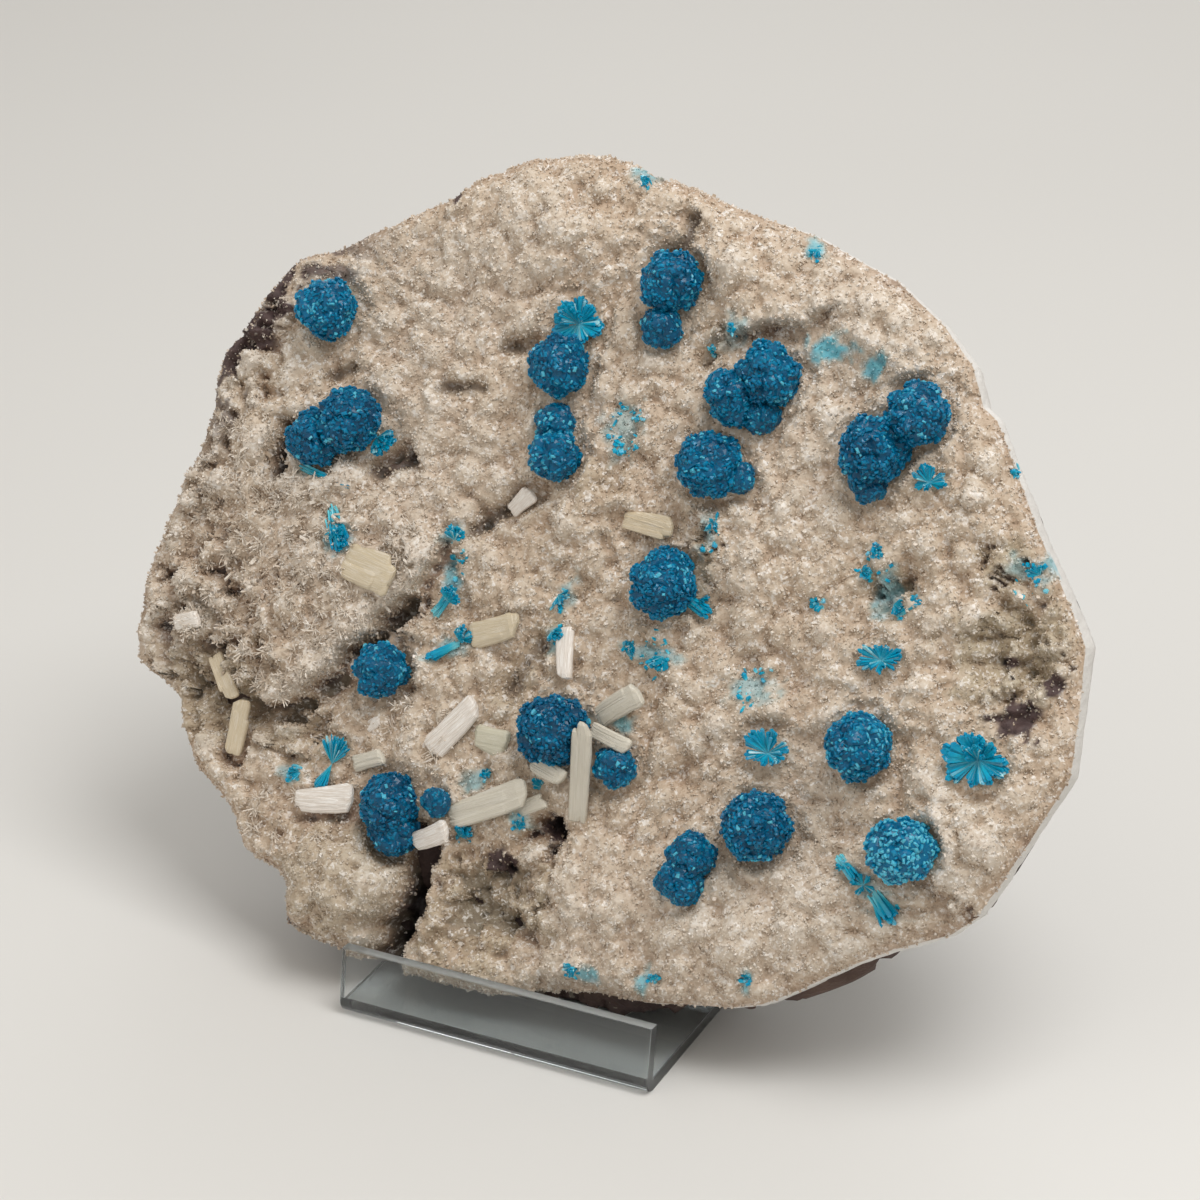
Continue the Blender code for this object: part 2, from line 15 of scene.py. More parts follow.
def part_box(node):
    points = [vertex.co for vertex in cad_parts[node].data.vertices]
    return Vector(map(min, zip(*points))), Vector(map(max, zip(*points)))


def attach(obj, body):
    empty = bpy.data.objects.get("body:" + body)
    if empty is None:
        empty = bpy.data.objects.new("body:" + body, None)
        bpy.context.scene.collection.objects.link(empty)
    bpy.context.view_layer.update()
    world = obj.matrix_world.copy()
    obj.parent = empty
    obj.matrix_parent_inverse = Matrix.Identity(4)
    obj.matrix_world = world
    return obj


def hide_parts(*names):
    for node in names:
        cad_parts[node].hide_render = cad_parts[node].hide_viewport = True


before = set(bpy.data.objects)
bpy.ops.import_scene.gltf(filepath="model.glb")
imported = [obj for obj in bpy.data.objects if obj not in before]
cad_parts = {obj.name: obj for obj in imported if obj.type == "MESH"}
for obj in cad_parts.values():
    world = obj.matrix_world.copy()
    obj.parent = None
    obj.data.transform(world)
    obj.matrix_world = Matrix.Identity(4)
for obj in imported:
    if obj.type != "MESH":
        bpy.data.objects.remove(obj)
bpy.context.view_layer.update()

MM = 0.001

# Stand and plate, in mm, as in the solids
STAND_WIDTH = 50.0
SHEET = 2.0
LIP_HEIGHT = 10.8
LIP_LEAN = math.radians(8.4)
BACKREST_TOP = 60.0
FOOT_Y = 84.0
FRONT_BEND = 1.15
REAR_BEND = 2.6
CROWN_BEND = 4.0
LEAN = math.radians(25.0)
FACE_FOOT = (6.5, 10.4)
FACE_U = 2.5
FACE_V = 57.9
THICKNESS = 25.0
GAP = 0.3
SIN, COS = math.sin(LEAN), math.cos(LEAN)

# Finer than the solids: cells across the crust and across the back
CRUST_CELLS = 290
BACK_CELLS = 110
CRUST_GRID = (CRUST_CELLS + 1) ** 2

# The camera, fitted to the corners of the stand's lip, aimed in mm
AZIMUTH, ELEVATION, ROLL = (math.radians(a) for a in (25.6, 25.4, 0.35))
FIELD = math.radians(20.0)
CAMERA_AIM = (17.3, 0.0, 76.6)
CAMERA_DISTANCE = 452.0

OUTLINE = [
    (72, 5), (68.5, 10.5), (65, 16), (59.5, 24.5), (53.5, 33.5), (51, 35),
    (48.5, 40), (43.5, 45), (35.5, 50), (26.5, 53), (22, 54.5), (10, 56.5),
    (1, 58.5), (-8, 60), (-12.5, 60.5), (-18.5, 59.5), (-24, 58.5),
    (-29.5, 55.5), (-31, 54.5), (-34.5, 50.5), (-38.5, 48), (-43, 44.5),
    (-48, 41.5), (-51.5, 39.5), (-58.5, 37.5), (-60.5, 35.5), (-63, 32),
    (-65.5, 29), (-68, 23), (-68.5, 18.5), (-68, 13.5), (-69, 8), (-70, 4),
    (-72, -4), (-73.5, -10), (-74, -13.5), (-73, -22), (-73, -25.5),
    (-71.5, -27), (-66, -30), (-64.5, -32.5), (-59, -39.5), (-56, -41.5),
    (-50.5, -44.5), (-49, -49), (-42, -53), (-41, -55), (-40.5, -59.5),
    (-30, -61), (-20.5, -61.5), (-10.5, -61.5), (-2.5, -61), (1, -59.5),
    (5, -58.5), (11, -57.5), (19, -57), (25, -56), (31.5, -55), (36, -53.5),
    (41.5, -50), (47, -46), (53, -42), (61, -38), (65, -34), (67.5, -29),
    (71.5, -19.5), (74, -13), (73.5, -5.5),
]
SWELLS = [
    (-31.5, -51, 9, 8, 5.5), (64.5, 3, 9, 10, -3.2), (43, 7, 3, 3, -1.4),
    (-7, -48, 12, 9, -3), (-60, -27, 10, 7, -3), (-1, -37, 3, 3, -3),
    (-50, 5, 14, 16, 2), (-22, 48, 14, 9, 2), (9, 49, 8, 6, 2),
    (34, 42, 9, 7, 2), (49, 22, 9, 9, 1.5), (27, -42, 12, 9, 2.2),
    (6, -47, 8, 7, 2), (45, -40, 10, 8, 1.6), (60, -20, 7, 9, 1.8),
    (26, 10, 9, 8, 1.8), (23, -14, 8, 6, 1.4), (-30, 24, 9, 7, 1.8),
    (-20, -50, 5, 6, 1.5), (-4, 10, 6, 6, 1.6), (-33, -22, 7, 5, -1.5),
]
LUMPS = [
    (-50, 6, 5, 1.6), (-60, 12, 5, 1.5), (-43, 34, 5, 1.5),
    (-35, 31, 5, 1.6), (-33, 42, 5, 1.6), (-23, 52, 5, 1.6),
    (-16, 49, 5, 1.8), (-4, 51, 5, 1.6), (9, 48, 5, 1.7),
    (17, 45, 4, 1.5), (28, 48, 5, 1.6), (34, 44, 5, 1.7),
    (40, 40, 4, 1.5), (48, 29, 5, 1.6), (53, 19, 5, 1.6),
    (43, 14, 5, 1.5), (35, 13, 4, 1.5), (27, 20, 5, 1.6),
    (28, 29, 5, 1.7), (0, 31, 4, 1.5), (-4, 36, 4, 1.5),
    (-9, 47, 5, 1.6), (-26, 34, 5, 1.6), (-33, 18, 5, 1.6),
    (-24, 15, 5, 1.6), (-1, 12, 5, 1.7), (11, 8, 4, 1.5),
    (21, 7, 5, 1.6), (25, 0, 5, 1.6), (35, -2, 5, 1.6),
    (38, -9, 5, 1.6), (23, -19, 5, 1.6), (15, -12, 5, 1.7),
    (13, -30, 5, 1.7), (8, -39, 5, 1.7), (3, -46, 5, 1.8),
    (13, -44, 5, 1.8), (23, -48, 5, 1.8), (32, -45, 5, 1.8),
    (39, -37, 5, 1.6), (46, -21, 4, 1.5), (60, -21, 5, 1.7),
    (65, -24, 4, 1.6), (48, -7, 5, 1.6), (52, 4, 5, 1.5),
    (-19, -2, 5, 1.5), (-11, -5, 4, 1.5), (-7, 5, 4, 1.5),
    (-25, -23, 5, 1.5), (-39, -27, 4, 1.5), (-30, -50, 5, 1.4),
    (-37, -47, 5, 1.5), (-28, -44, 3.5, 1.2), (-15, -54, 5, 1.6),
    (-66, -12, 5, 1.6), (-66, 2, 5, 1.6), (-57, -5, 5, 1.5),
    (-46, -12, 5, 1.5), (-63, 22, 4, 1.2), (-57, -36, 5, 1.5),
]
LEDGES = [
    ([(-57, -27), (-51, -28), (-43, -24), (-37, -17), (-31, -10), (-27, -1)],
     3.2, 3.2, 16),
    ([(14.5, 39), (21.5, 41.5), (25, 43.5)], 2.2, 1.6, 8),
    ([(52.5, -29), (57.5, -30), (61, -32.5), (63.5, -34)], 2.2, 1.6, 8),
    ([(-23, -41), (-20, -47), (-21, -52), (-23.5, -60)], 1.5, 1, 6),
]
# Crevices: line, width and depth; each is also painted dark with the rock's colour and brown, as shade.
CREVICES = [
    ([(-22.5, -41), (-20, -47), (-21, -52), (-23.5, -61)], 2.6, 9),
    ([(-53.8, 13.5), (-54.8, 9.5), (-54.2, 6.5)], 2.0, 5.5),
    ([(3.5, 54), (3, 50), (-1, 47)], 1.8, 3),
    ([(-30.5, 23.5), (-24, 24.5)], 1.6, 2.5),
    ([(-22, 31), (-17.5, 32)], 1.5, 2),
    ([(-21.5, 4), (-17.5, 7.5), (-15.5, 9.5)], 1.6, 3),
    ([(-7, -10), (-9.5, -14), (-11, -18)], 2.6, 2.2),
    ([(9, 34), (11, 39)], 1.6, 2),
    ([(-38.5, 9.6), (-34.0, 12.6)], 1.8, 4.0),
    ([(-49, 22), (-46, 24)], 1.5, 2),
    ([(-53, -29.5), (-50, -30), (-43, -26.4), (-39, -22.4)], 1.5, 1.6),
    ([(-36.4, -17), (-32, -12.4), (-29.6, -8)], 1.4, 2.6),
]

# Cavansite growths: u, v, radius and kind of each lobe, as in the solids
CAVANSITE = [
    [(-50.7, 31.9, 4.7, "ball")],
    [(-43.3, 16.3, 5.3, "ball"), (-48.3, 12.7, 4.7, "ball"), (-39.6, 14.4, 3.9, "fan")],
    [(-12.1, 29.7, 4.6, "ball"), (-11.1, 36.2, 4.7, "rosette")],
    [(-10.1, 16.9, 4.0, "ball"), (-11.2, 21.5, 3.0, "ball")],
    [(2.7, 44.3, 4.6, "ball"), (2.6, 37.8, 3.2, "ball")],
    [(19.7, 33.6, 4.9, "ball"), (15.4, 29.9, 4.4, "ball"), (19.8, 28.0, 2.9, "ball")],
    [(14.0, 19.6, 5.0, "ball"), (18.5, 18.7, 2.4, "ball")],
    [(37.5, 26.0, 5.3, "ball"), (42.7, 32.1, 4.7, "ball"), (37.3, 21.2, 2.9, "ball")],
    [(46.0, 23.0, 3.0, "rosette")],
    [(10.5, 1.8, 5.3, "ball"), (15.2, 0.6, 2.4, "fan")],
    [(-31.6, -18.9, 4.2, "ball")],
    [(-2.1, -21.9, 5.6, "ball")],
    [(8.2, -25.2, 3.2, "ball")],
    [(-26.2, -38.2, 5.0, "ball"), (-24.8, -42.2, 3.6, "ball")],
    [(-18.6, -35.9, 2.4, "ball")],
    [(43.8, -14.5, 5.0, "ball")],
    [(60.7, -12.9, 5.0, "rosette")],
    [(31.6, -28.4, 5.4, "ball")],
    [(22.6, -34.9, 3.6, "ball"), (22.0, -38.6, 3.6, "ball")],
    [(53.1, -27.3, 5.0, "ball")],
    [(30.3, -18.4, 4.1, "rosette")],
    [(43.8, -2.4, 3.5, "rosette")],
    [(-37.2, -34.4, 4.3, "bow")],
    [(47.6, -33.4, 2.4, "rosette")],
    [(-23.5, -7.0, 2.8, "fan")],
    [(-20.4, -12.4, 2.8, "fan")],
]

LOBES = sum(CAVANSITE, [])

# Growths that are lighter or darker than the others, by number
TONES = {
    1: 0.4, 2: -0.25, 5: -0.1, 8: -0.15, 12: -0.6, 14: -0.6, 16: 0.45,
    18: -0.2, 19: 0.1, 20: 1.0,
}
# Which way the fans open, as an angle in the face; two growths turn another way
FAN_TURN = -0.5
OTHER_FAN_TURNS = {25: 1.0, 26: 1.0}

# Small tufts of cavansite with no solid of their own: u, v, radius
TUFTS = [
    (-41.1, -1.1, 2.6), (-5.3, -3.5, 2.1), (-5.2, -8.6, 1.8), (-23.8, 2.9, 2.1),
    (6.6, -8.4, 1.7), (11.4, -9.4, 2.3),
    (-5.0, 57.6, 1.8), (22.7, 51.6, 1.5), (57.0, 26.5, 0.8), (62.5, 14.0, 1.8),
    (44.6, 5.3, 1.8), (40.5, 12.2, 1.5), (39.2, 9.1, 1.5), (7.4, -54.8, 1.5),
    (19.9, -53.0, 1.2), (33.8, -50.0, 0.8), (-5.3, -36.4, 1.5),
    (-12.1, -30.6, 1.5), (-42.9, -37.1, 1.8), (-3.6, -30.0, 1.2),
    (33.0, 3.1, 1.5), (16.0, 11.3, 1.5), (-14.3, -39.3, 2.4), (9.9, 35.6, 0.9),
    (13.0, 38.9, 0.8), (44.3, -31.6, 1.5), (52.0, -35.8, 1.5),
]
# Crust tinted by cavansite below it: u, v, half length, half width, turn, share
MIST = [
    (28.7, 38.8, 4.0, 2.1, 0.0, 1.0), (35.2, 37.4, 3.0, 1.2, 0.9, 0.9),
    (-24.2, -3.4, 3.6, 1.5, 1.9, 0.7), (-41.3, -1.2, 3.2, 2.4, 1.5, 0.6),
    (-24.2, 2.8, 2.4, 1.4, 0.6, 0.45), (-4.9, -2.2, 3.2, 1.4, 1.3, 0.5),
    (-5.6, -9.2, 2.6, 1.3, 1.5, 0.45), (9.8, -8.2, 4.0, 1.8, 0.0, 0.55),
    (25.5, -10.0, 4.4, 2.4, 0.1, 0.45), (15.4, 10.6, 3.4, 1.5, 1.5, 0.4),
    (42.2, 6.4, 3.6, 2.0, 1.3, 0.55), (59.9, 13.6, 2.2, 2.0, 0.0, 0.4),
    (64.4, 14.6, 2.6, 1.4, 1.4, 0.55), (8.8, -55.2, 2.8, 1.3, 0.0, 0.7),
    (18.6, -53.8, 2.4, 1.0, 1.5, 0.7), (33.6, -50.9, 2.6, 0.9, 1.5, 0.6),
    (-5.7, 59.0, 3.0, 1.3, -0.3, 0.6), (22.4, 52.4, 1.7, 1.4, 0.0, 0.7),
    (-5.7, -36.0, 1.8, 1.6, 0.0, 0.5), (-13.9, -31.8, 2.8, 1.6, 0.5, 0.5),
    (-22.0, -13.8, 3.8, 1.8, 0.6, 0.5), (-0.6, 22.4, 4.6, 3.2, 1.5, 0.35),
    (-43.3, -37.4, 2.6, 1.4, 0.0, 0.5), (13.2, 39.0, 3.4, 2.2, 0.7, 0.45),
    (7.6, -19.0, 2.4, 1.6, -0.3, 0.6), (49.0, -33.8, 6.0, 1.4, -0.45, 0.4),
]
# Needle bundles: from, to (u, v), rise of the end, width
STREAKS = [
    (-49.6, 8.0, -40.6, 6.4, 1.4, 1.1), (43.6, -30.4, 46.6, -33.2, 0.7, 1.3),
    (49.6, -34.2, 53.2, -37.4, 0.7, 1.6), (13.2, 0.4, 17.6, -1.0, 0.8, 1.4),
    (-25.8, -9.4, -23.0, -5.6, 0.7, 1.5), (-20.6, -13.0, -24.4, -15.9, 0.5, 1.3),
    (44.6, 4.4, 47.4, 7.4, 0.6, 1.2), (-43.4, 2.6, -40.4, -2.4, 0.7, 1.6),
]
# Scatters of single specks: u, v, reach, how many, and whether they leave
# the middle bare
SPECKS = [
    (-0.4, 22.7, 3.8, 46, True), (26.4, -9.3, 3.5, 22, False),
    (15.8, 9.6, 2.2, 9, False), (62.0, 12.0, 3.6, 12, False),
    (-22.6, -1.0, 2.6, 12, False), (40.5, 10.0, 3.0, 10, False),
    (10.5, -8.0, 3.5, 14, False),
]

# Larger blades: from, to (u, v), width, rise, look. The first fifteen have solids
BLADES = [
    (-54.5, -36.5, -53.6, -27.8, 3.0, 1.5, "cream"),
    (-21.3, -29.0, -13.9, -20.9, 4.0, 2, "white"),
    (-41.4, -41.0, -31.6, -39.0, 4.4, 1, "white"),
    (-33.4, -33.6, -28.2, -31.0, 2.6, 1.5, "clear"),
    (-14.6, -25.4, -8.8, -24.8, 3.8, 1, "green"),
    (3.3, -34.0, 3.6, -17.9, 2.9, 6.5, "clear"),
    (3.6, -20.6, 10.4, -22.0, 2.4, 1.0, "clear"),
    (3.6, -18.8, 10.6, -13.2, 3.8, 3, "clear"),
    (-16.4, -38.0, -3.4, -31.4, 4.2, 3, "clear"),
    (-21.3, -42.8, -15.0, -39.0, 3.4, 2.5, "white"),
    (-39.6, -4.2, -30.6, -5.7, 6.2, 1.5, "honey"),
    (-18.2, -11.4, -10.0, -8.4, 4.0, 2, "honey"),
    (-16.5, 7.8, -12.8, 11.6, 2.6, 2, "white"),
    (2.0, 9.8, 10.6, 9.4, 3.0, 2, "cream"),
    (-66.6, -18.8, -62.2, -17.0, 2.6, 1, "white"),
]
SMALL_BLADES = [
    (-60.4, -22.6, -55.4, -28.5, 2.4, 1.0, "cream"),
    (-4.3, -27.0, 1.6, -28.6, 3.0, 1.2, "clear"),
    (-4.2, -7.2, -2.7, -14.8, 2.8, 1.2, "white"),
    (-32.9, -28.0, -30.6, -26.1, 1.8, 0.8, "white"),
    (-7.8, -35.6, -1.3, -32.0, 2.1, 1.5, "clear"),
]

# Blades that stand off the crust, by their piece: how far, in mm
LIFT = {"stilbite_07_blade": 2.2, "stilbite_10_blade": 0.3, "stilbite_small_blade_2": 2.4}

# Rough, crumbly patches: u, v, half width, half height, share
CRUMBLY = [
    (-62, -20, 13, 17, 0.9), (-7, -48, 11, 7, 0.8), (62.5, 1.5, 8.5, 7.5, 0.6),
    (-44, -31, 8, 5, 1.0), (43, 7, 4, 4, 0.8), (-31, -8, 4, 11, 0.8),
    (-1, -38, 4, 4, 0.8), (14, 4, 3, 9, 0.8), (-63, 24, 6, 12, 1.0),
    (-66, 3, 5, 8, 0.9),
]
# Round nodules in the sunken patch at the right: u, v, radius, rise
NODULES = [
    (60.4, 6.4, 1.9, 1.7), (57.6, 1.8, 1.7, 1.5), (62.6, -1.2, 1.8, 1.6),
    (66.3, 4.2, 2.0, 1.8), (67.4, -2.6, 2.0, 1.7), (64.0, -4.6, 1.6, 1.3),
    (61.2, 10.4, 1.5, 1.1), (55.6, 5.4, 1.4, 1.0), (69.4, 1.0, 1.4, 1.3),
    (60.0, -4.2, 1.5, 1.2), (66.2, 8.6, 1.4, 1.1), (-64.4, -17.6, 3.3, 2.2),
]
# Patches of painted shade, where parts of the crust get less light, and one spot made lighter: u, v, reach,
# how much
SHADE_PATCHES = [
    (-33, -50, 12, 0.42), (-14, -50, 8, 0.5), (-7.5, -51, 6, 0.3),
    (-2, 14.6, 5, 0.35), (-62, -24, 13, 0.2), (-45, -24, 12, 0.12),
    (-64.4, -17.6, 3.3, -0.7),
]
# Where small pits gather, painted dark with the rock's colour as shade: u, v, reach, how many
PITTED = [(58.8, 13.9, 3.6, 16), (64.0, 2.0, 7.5, 9), (43.1, 7.1, 2.6, 7), (16.0, 8.0, 2.5, 5)]
# Where the dark rock shows: u, v, half width, half height
ROCK_SPOTS = [
    (-8.5, -42, 2.6, 2.0), (65.0, -6.6, 4.4, 3.0), (-1, -37, 2.0, 2.4),
    (-35.5, 52, 2.6, 1.2), (69.5, -1.0, 1.6, 2.4), (61.0, 1.0, 2.2, 1.0),
]
# Where the crust is stained: u, v, half width, half height, share
STAINS = [
    (58.8, 13.9, 5, 4.5, 0.6), (-60, -27, 13, 9, 0.5), (-7.2, -48, 11, 8, 0.55),
    (43, 7, 4, 4, 0.45), (15, 5, 3, 7, 0.4), (-44, -31, 8, 5, 0.35),
    (-32, -51, 13, 11, 0.4), (-10, -52, 10, 9, 0.5), (-2, 14.6, 4.5, 4.5, 0.35),
]
# Where pale needles stand in stars: u, v, half width, half height, how many
STARS = [
    (-58, 2, 11, 13, 46), (-44, -4, 8, 9, 26), (-38, -16, 9, 6, 20),
    (-50, -22, 9, 4, 18), (-61, -14, 8, 6, 18), (-30, -4, 5, 7, 14),
    (-22, -26, 9, 5, 14), (-42, -44, 8, 5, 12), (-64.4, -17.8, 2.3, 2.0, 46),
    (-45, -24.5, 8, 2.2, 22), (-34, -13.5, 3.5, 3.5, 14),
]

# The stand's box ties the plate's frame to the world: its lip is at the front
stand_low, stand_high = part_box("display_stand")
STAND_FRONT = 0.361
SHIFT = np.array([
    (stand_low.x + stand_high.x) / 2 / MM,
    stand_low.y / MM - STAND_FRONT,
    0.0,
])

CORNERS = np.array(OUTLINE, float)
TURNS = np.unwrap(np.arctan2(CORNERS[:, 1], CORNERS[:, 0]))

# Angle in degrees, and how far the crust's edge stands past the solids there
EDGE_OUT = np.array([
    (-172, 1.1), (-168, 1.2), (-164, 1.9), (-158, 0.2), (-150, 1.1), (-143, 0.8),
    (-138, 2.0), (-134, 0.9), (-130, -0.5), (-120, 0.0), (20, 0.3), (40, 0.8),
    (58, 0.5), (75, 0.3), (86, 0.1), (94, -0.3), (105, 0.0), (117, -0.5),
    (127, 0.9), (138, 2.7), (148, 2.1), (158, 0.5), (163, 1.2), (170, 0.5)])


def to_world(points):
    """Plate frame (u, v, h) in mm to the world, in mm, one row a point."""
    u, v, h = points[..., 0], points[..., 1], points[..., 2]
    x = u + FACE_U
    y = FACE_FOOT[0] + (v + FACE_V) * SIN - h * COS
    z = FACE_FOOT[1] + (v + FACE_V) * COS + h * SIN
    return np.stack([x, y, z], -1) + SHIFT


def to_plate(points):
    """World points in mm back to the plate's frame."""
    p = points - SHIFT
    a, b = p[..., 1] - FACE_FOOT[0], p[..., 2] - FACE_FOOT[1]
    return np.stack([p[..., 0] - FACE_U, a * SIN + b * COS - FACE_V, b * SIN - a * COS], -1)


def node_points(name):
    """A solid's vertices in the plate's frame."""
    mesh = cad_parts[name].data
    flat = np.empty(len(mesh.vertices) * 3)
    mesh.vertices.foreach_get("co", flat)
    return to_plate(flat.reshape(-1, 3) / MM)


def smooth(low, high, value):
    """A soft step from 0 at low to 1 at high."""
    t = np.clip((value - low) / (high - low), 0, 1)
    return t * t * (3 - 2 * t)


def grain(x, y, cell, seed):
    """Smooth noise from -1 to 1: random values on a lattice of one cell,
    joined by soft steps in both directions."""
    lattice = np.random.default_rng(seed).uniform(-1, 1, (256, 256))
    i, j = x / cell, y / cell
    i0, j0 = np.floor(i).astype(int), np.floor(j).astype(int)
    s, t = i - i0, j - j0
    s, t = s * s * (3 - 2 * s), t * t * (3 - 2 * t)
    a, b = lattice[i0 % 256, j0 % 256], lattice[(i0 + 1) % 256, j0 % 256]
    c, d = lattice[i0 % 256, (j0 + 1) % 256], lattice[(i0 + 1) % 256, (j0 + 1) % 256]
    return (a * (1 - s) + b * s) * (1 - t) + (c * (1 - s) + d * s) * t


def crystal_faces(x, y, cell, seed):
    """Facets of small crystals: each cell of a jittered lattice has a plane
    with its own rise and tilt, and a point lies on its nearest cell's."""
    rng = np.random.default_rng(seed)
    lattice = rng.uniform(-0.5, 0.5, (5, 256, 256))
    i, j = np.floor(x / cell).astype(int), np.floor(y / cell).astype(int)
    best, found = np.full(x.shape, 1e9), np.zeros(x.shape)
    for di in (-1, 0, 1):
        for dj in (-1, 0, 1):
            own = lattice[:, (i + di) % 256, (j + dj) % 256]
            dx = x - (i + di + 0.5 + 0.8 * own[0]) * cell
            dy = y - (j + dj + 0.5 + 0.8 * own[1]) * cell
            d = dx * dx + dy * dy
            plane = 0.4 * cell * own[2] + own[3] * dx + own[4] * dy
            found = np.where(d < best, plane, found)
            best = np.minimum(best, d)
    return found


def outline_radius(theta):
    """Distance from the plate's middle to its outline: where the ray at an
    angle meets the straight edge between two outline points, let out a little
    where the crust's own edge stands proud."""
    theta = np.asarray(theta, float)
    t = (theta - TURNS[0]) % (2 * math.pi) + TURNS[0]
    k = np.searchsorted(TURNS, t, side="right") - 1
    a, b = CORNERS[k], CORNERS[(k + 1) % len(CORNERS)]
    du, dv = b[..., 0] - a[..., 0], b[..., 1] - a[..., 1]
    reach = (a[..., 0] * dv - a[..., 1] * du) / (np.cos(theta) * dv - np.sin(theta) * du)
    return reach + np.interp(np.degrees(theta), EDGE_OUT[:, 0], EDGE_OUT[:, 1], period=360)


def along(line, u, v):
    """Distance to a broken line, the side of it, and how far past its ends."""
    best = np.full(np.shape(u), 1e9)
    side = np.zeros(np.shape(u))
    past = np.zeros(np.shape(u))
    last = len(line) - 2
    for i in range(len(line) - 1):
        (au, av), (bu, bv) = line[i], line[i + 1]
        du, dv = bu - au, bv - av
        size = math.hypot(du, dv)
        t = ((u - au) * du + (v - av) * dv) / size
        flat = np.clip(t, 0, size)
        d = np.hypot(u - au - flat * du / size, v - av - flat * dv / size)
        turn = np.sign(du * (v - av) - dv * (u - au))
        over = np.zeros(np.shape(u))
        if i == 0:
            over = np.maximum(over, -t)
        if i == last:
            over = np.maximum(over, t - size)
        near = d < best
        best = np.where(near, d, best)
        side = np.where(near, turn, side)
        past = np.where(near, over, past)
    return best, side, past


def relief(u, v, edge):
    """Height of the crust's broad form: waves, swells, steps along lines,
    crevices, the highest of the big lumps, and a drop at the rim, which is
    deeper where the upper left is worn."""
    h = 0.6 * np.sin(u / 15 + 0.6) * np.sin(v / 12 - 0.4)
    for cu, cv, ru, rv, rise in SWELLS:
        q = ((u - cu) / ru) ** 2 + ((v - cv) / rv) ** 2
        h = h + rise * np.exp(-q ** 1.4)
    ragged = 1.0 * grain(u, v, 2.9, 51) + 0.7 * grain(u, v, 1.4, 52)
    for line, high, low, reach in LEDGES:
        d, side, past = along(line, u, v)
        up = 0.5 + 0.5 * np.tanh((side * d + ragged) / 0.45)
        fade = np.exp(-(past / 4) ** 2)
        step = up * high * np.exp(-d / reach) - (1 - up) * low * np.exp(-d / 5)
        h = h + fade * step
    for line, width, depth in CREVICES:
        d, _, past = along(line, u, v)
        h = h - depth * np.exp(-((d + 0.8 * ragged) / width) ** 2) * np.exp(-(past / 1.5) ** 2)
    top = np.zeros(np.shape(u))
    for cu, cv, radius, rise in LUMPS:
        q = 1 - ((u - cu) ** 2 + (v - cv) ** 2) / radius ** 2
        top = np.maximum(top, rise * np.sqrt(np.clip(q, 0, 1)))
    h = h + 0.45 * top
    worn = np.exp(-((np.arctan2(v, u) - 2.62) / 0.28) ** 2)
    drop, width = 1.6 + 3.2 * worn, 4 + 2.5 * worn
    return h - drop * np.clip(1 - edge / width, 0, 1) ** 2


def seat_share(u, v):
    """How much a crystal's seat holds the crust down, 1 under it and 0 away,
    and the height it holds it to: the broad form's at the crystal's middle,
    less a little."""
    inner = 20.0
    hold = np.zeros(np.shape(u))
    level = np.zeros(np.shape(u))
    for cu, cv, radius, _ in LOBES:
        w = smooth(radius + 1.8, radius + 0.2, np.hypot(u - cu, v - cv))
        top = float(relief(np.array(cu), np.array(cv), inner)) - 0.4
        level = np.where(w > hold, top, level)
        hold = np.maximum(hold, w)
    for au, av, bu, bv, width, *_ in BLADES:
        d = along([(au, av), (bu, bv)], u, v)[0]
        w = smooth(width / 2 + 1.4, width / 2 + 0.3, d)
        mid = np.array([(au + bu) / 2, (av + bv) / 2])
        top = float(relief(mid[0], mid[1], inner)) - 0.2
        level = np.where(w > hold, top, level)
        hold = np.maximum(hold, w)
    return hold, level


def under_crystals(u, v):
    """1 where a ball, spray or blade covers the crust, 0 beside it."""
    cover = np.zeros(np.shape(u))
    for cu, cv, radius, _ in LOBES:
        cover = np.maximum(cover, smooth(radius + 0.9, radius - 1.0, np.hypot(u - cu, v - cv)))
    for au, av, bu, bv, width, *_ in BLADES:
        d = along([(au, av), (bu, bv)], u, v)[0]
        cover = np.maximum(cover, smooth(width / 2 + 0.5, width / 2 - 0.8, d))
    return cover


def crumbly(u, v):
    """Each rough patch's share inside its ragged oval, 0 away from them."""
    share = np.zeros(np.shape(u))
    for cu, cv, ru, rv, most in CRUMBLY:
        d = np.hypot((u - cu) / ru, (v - cv) / rv) + 0.25 * grain(u, v, 3.0, 12)
        share = np.maximum(share, most * smooth(1.15, 0.6, d))
    return share


def mist(u, v):
    """How blue the crust is at each point, in ragged ovals."""
    rough = 0.4 * grain(u, v, 1.6, 25) + 0.35 * grain(u, v, 0.8, 26)
    share = np.zeros(np.shape(u))
    for cu, cv, ru, rv, turn, most in MIST:
        x = (u - cu) * math.cos(turn) + (v - cv) * math.sin(turn)
        y = (v - cv) * math.cos(turn) - (u - cu) * math.sin(turn)
        share = np.maximum(share, most * smooth(1.15, 0.35, np.hypot(x / ru, y / rv) + rough))
    return share


def pits(u, v):
    """Small seeded pits: 1 at a pit's middle, falling to 0 at its rim."""
    rng = np.random.default_rng(14)
    share = np.zeros(np.shape(u))
    for cu, cv, reach, count in PITTED:
        a, d = rng.uniform(0, 6.28, count), reach * np.sqrt(rng.random(count))
        size = rng.uniform(0.35, 0.7, count)
        for pu, pv, r in zip(cu + d * np.cos(a), cv + d * np.sin(a), size):
            share = np.maximum(share, smooth(r, 0.3 * r, np.hypot(u - pu, v - pv)))
    return share


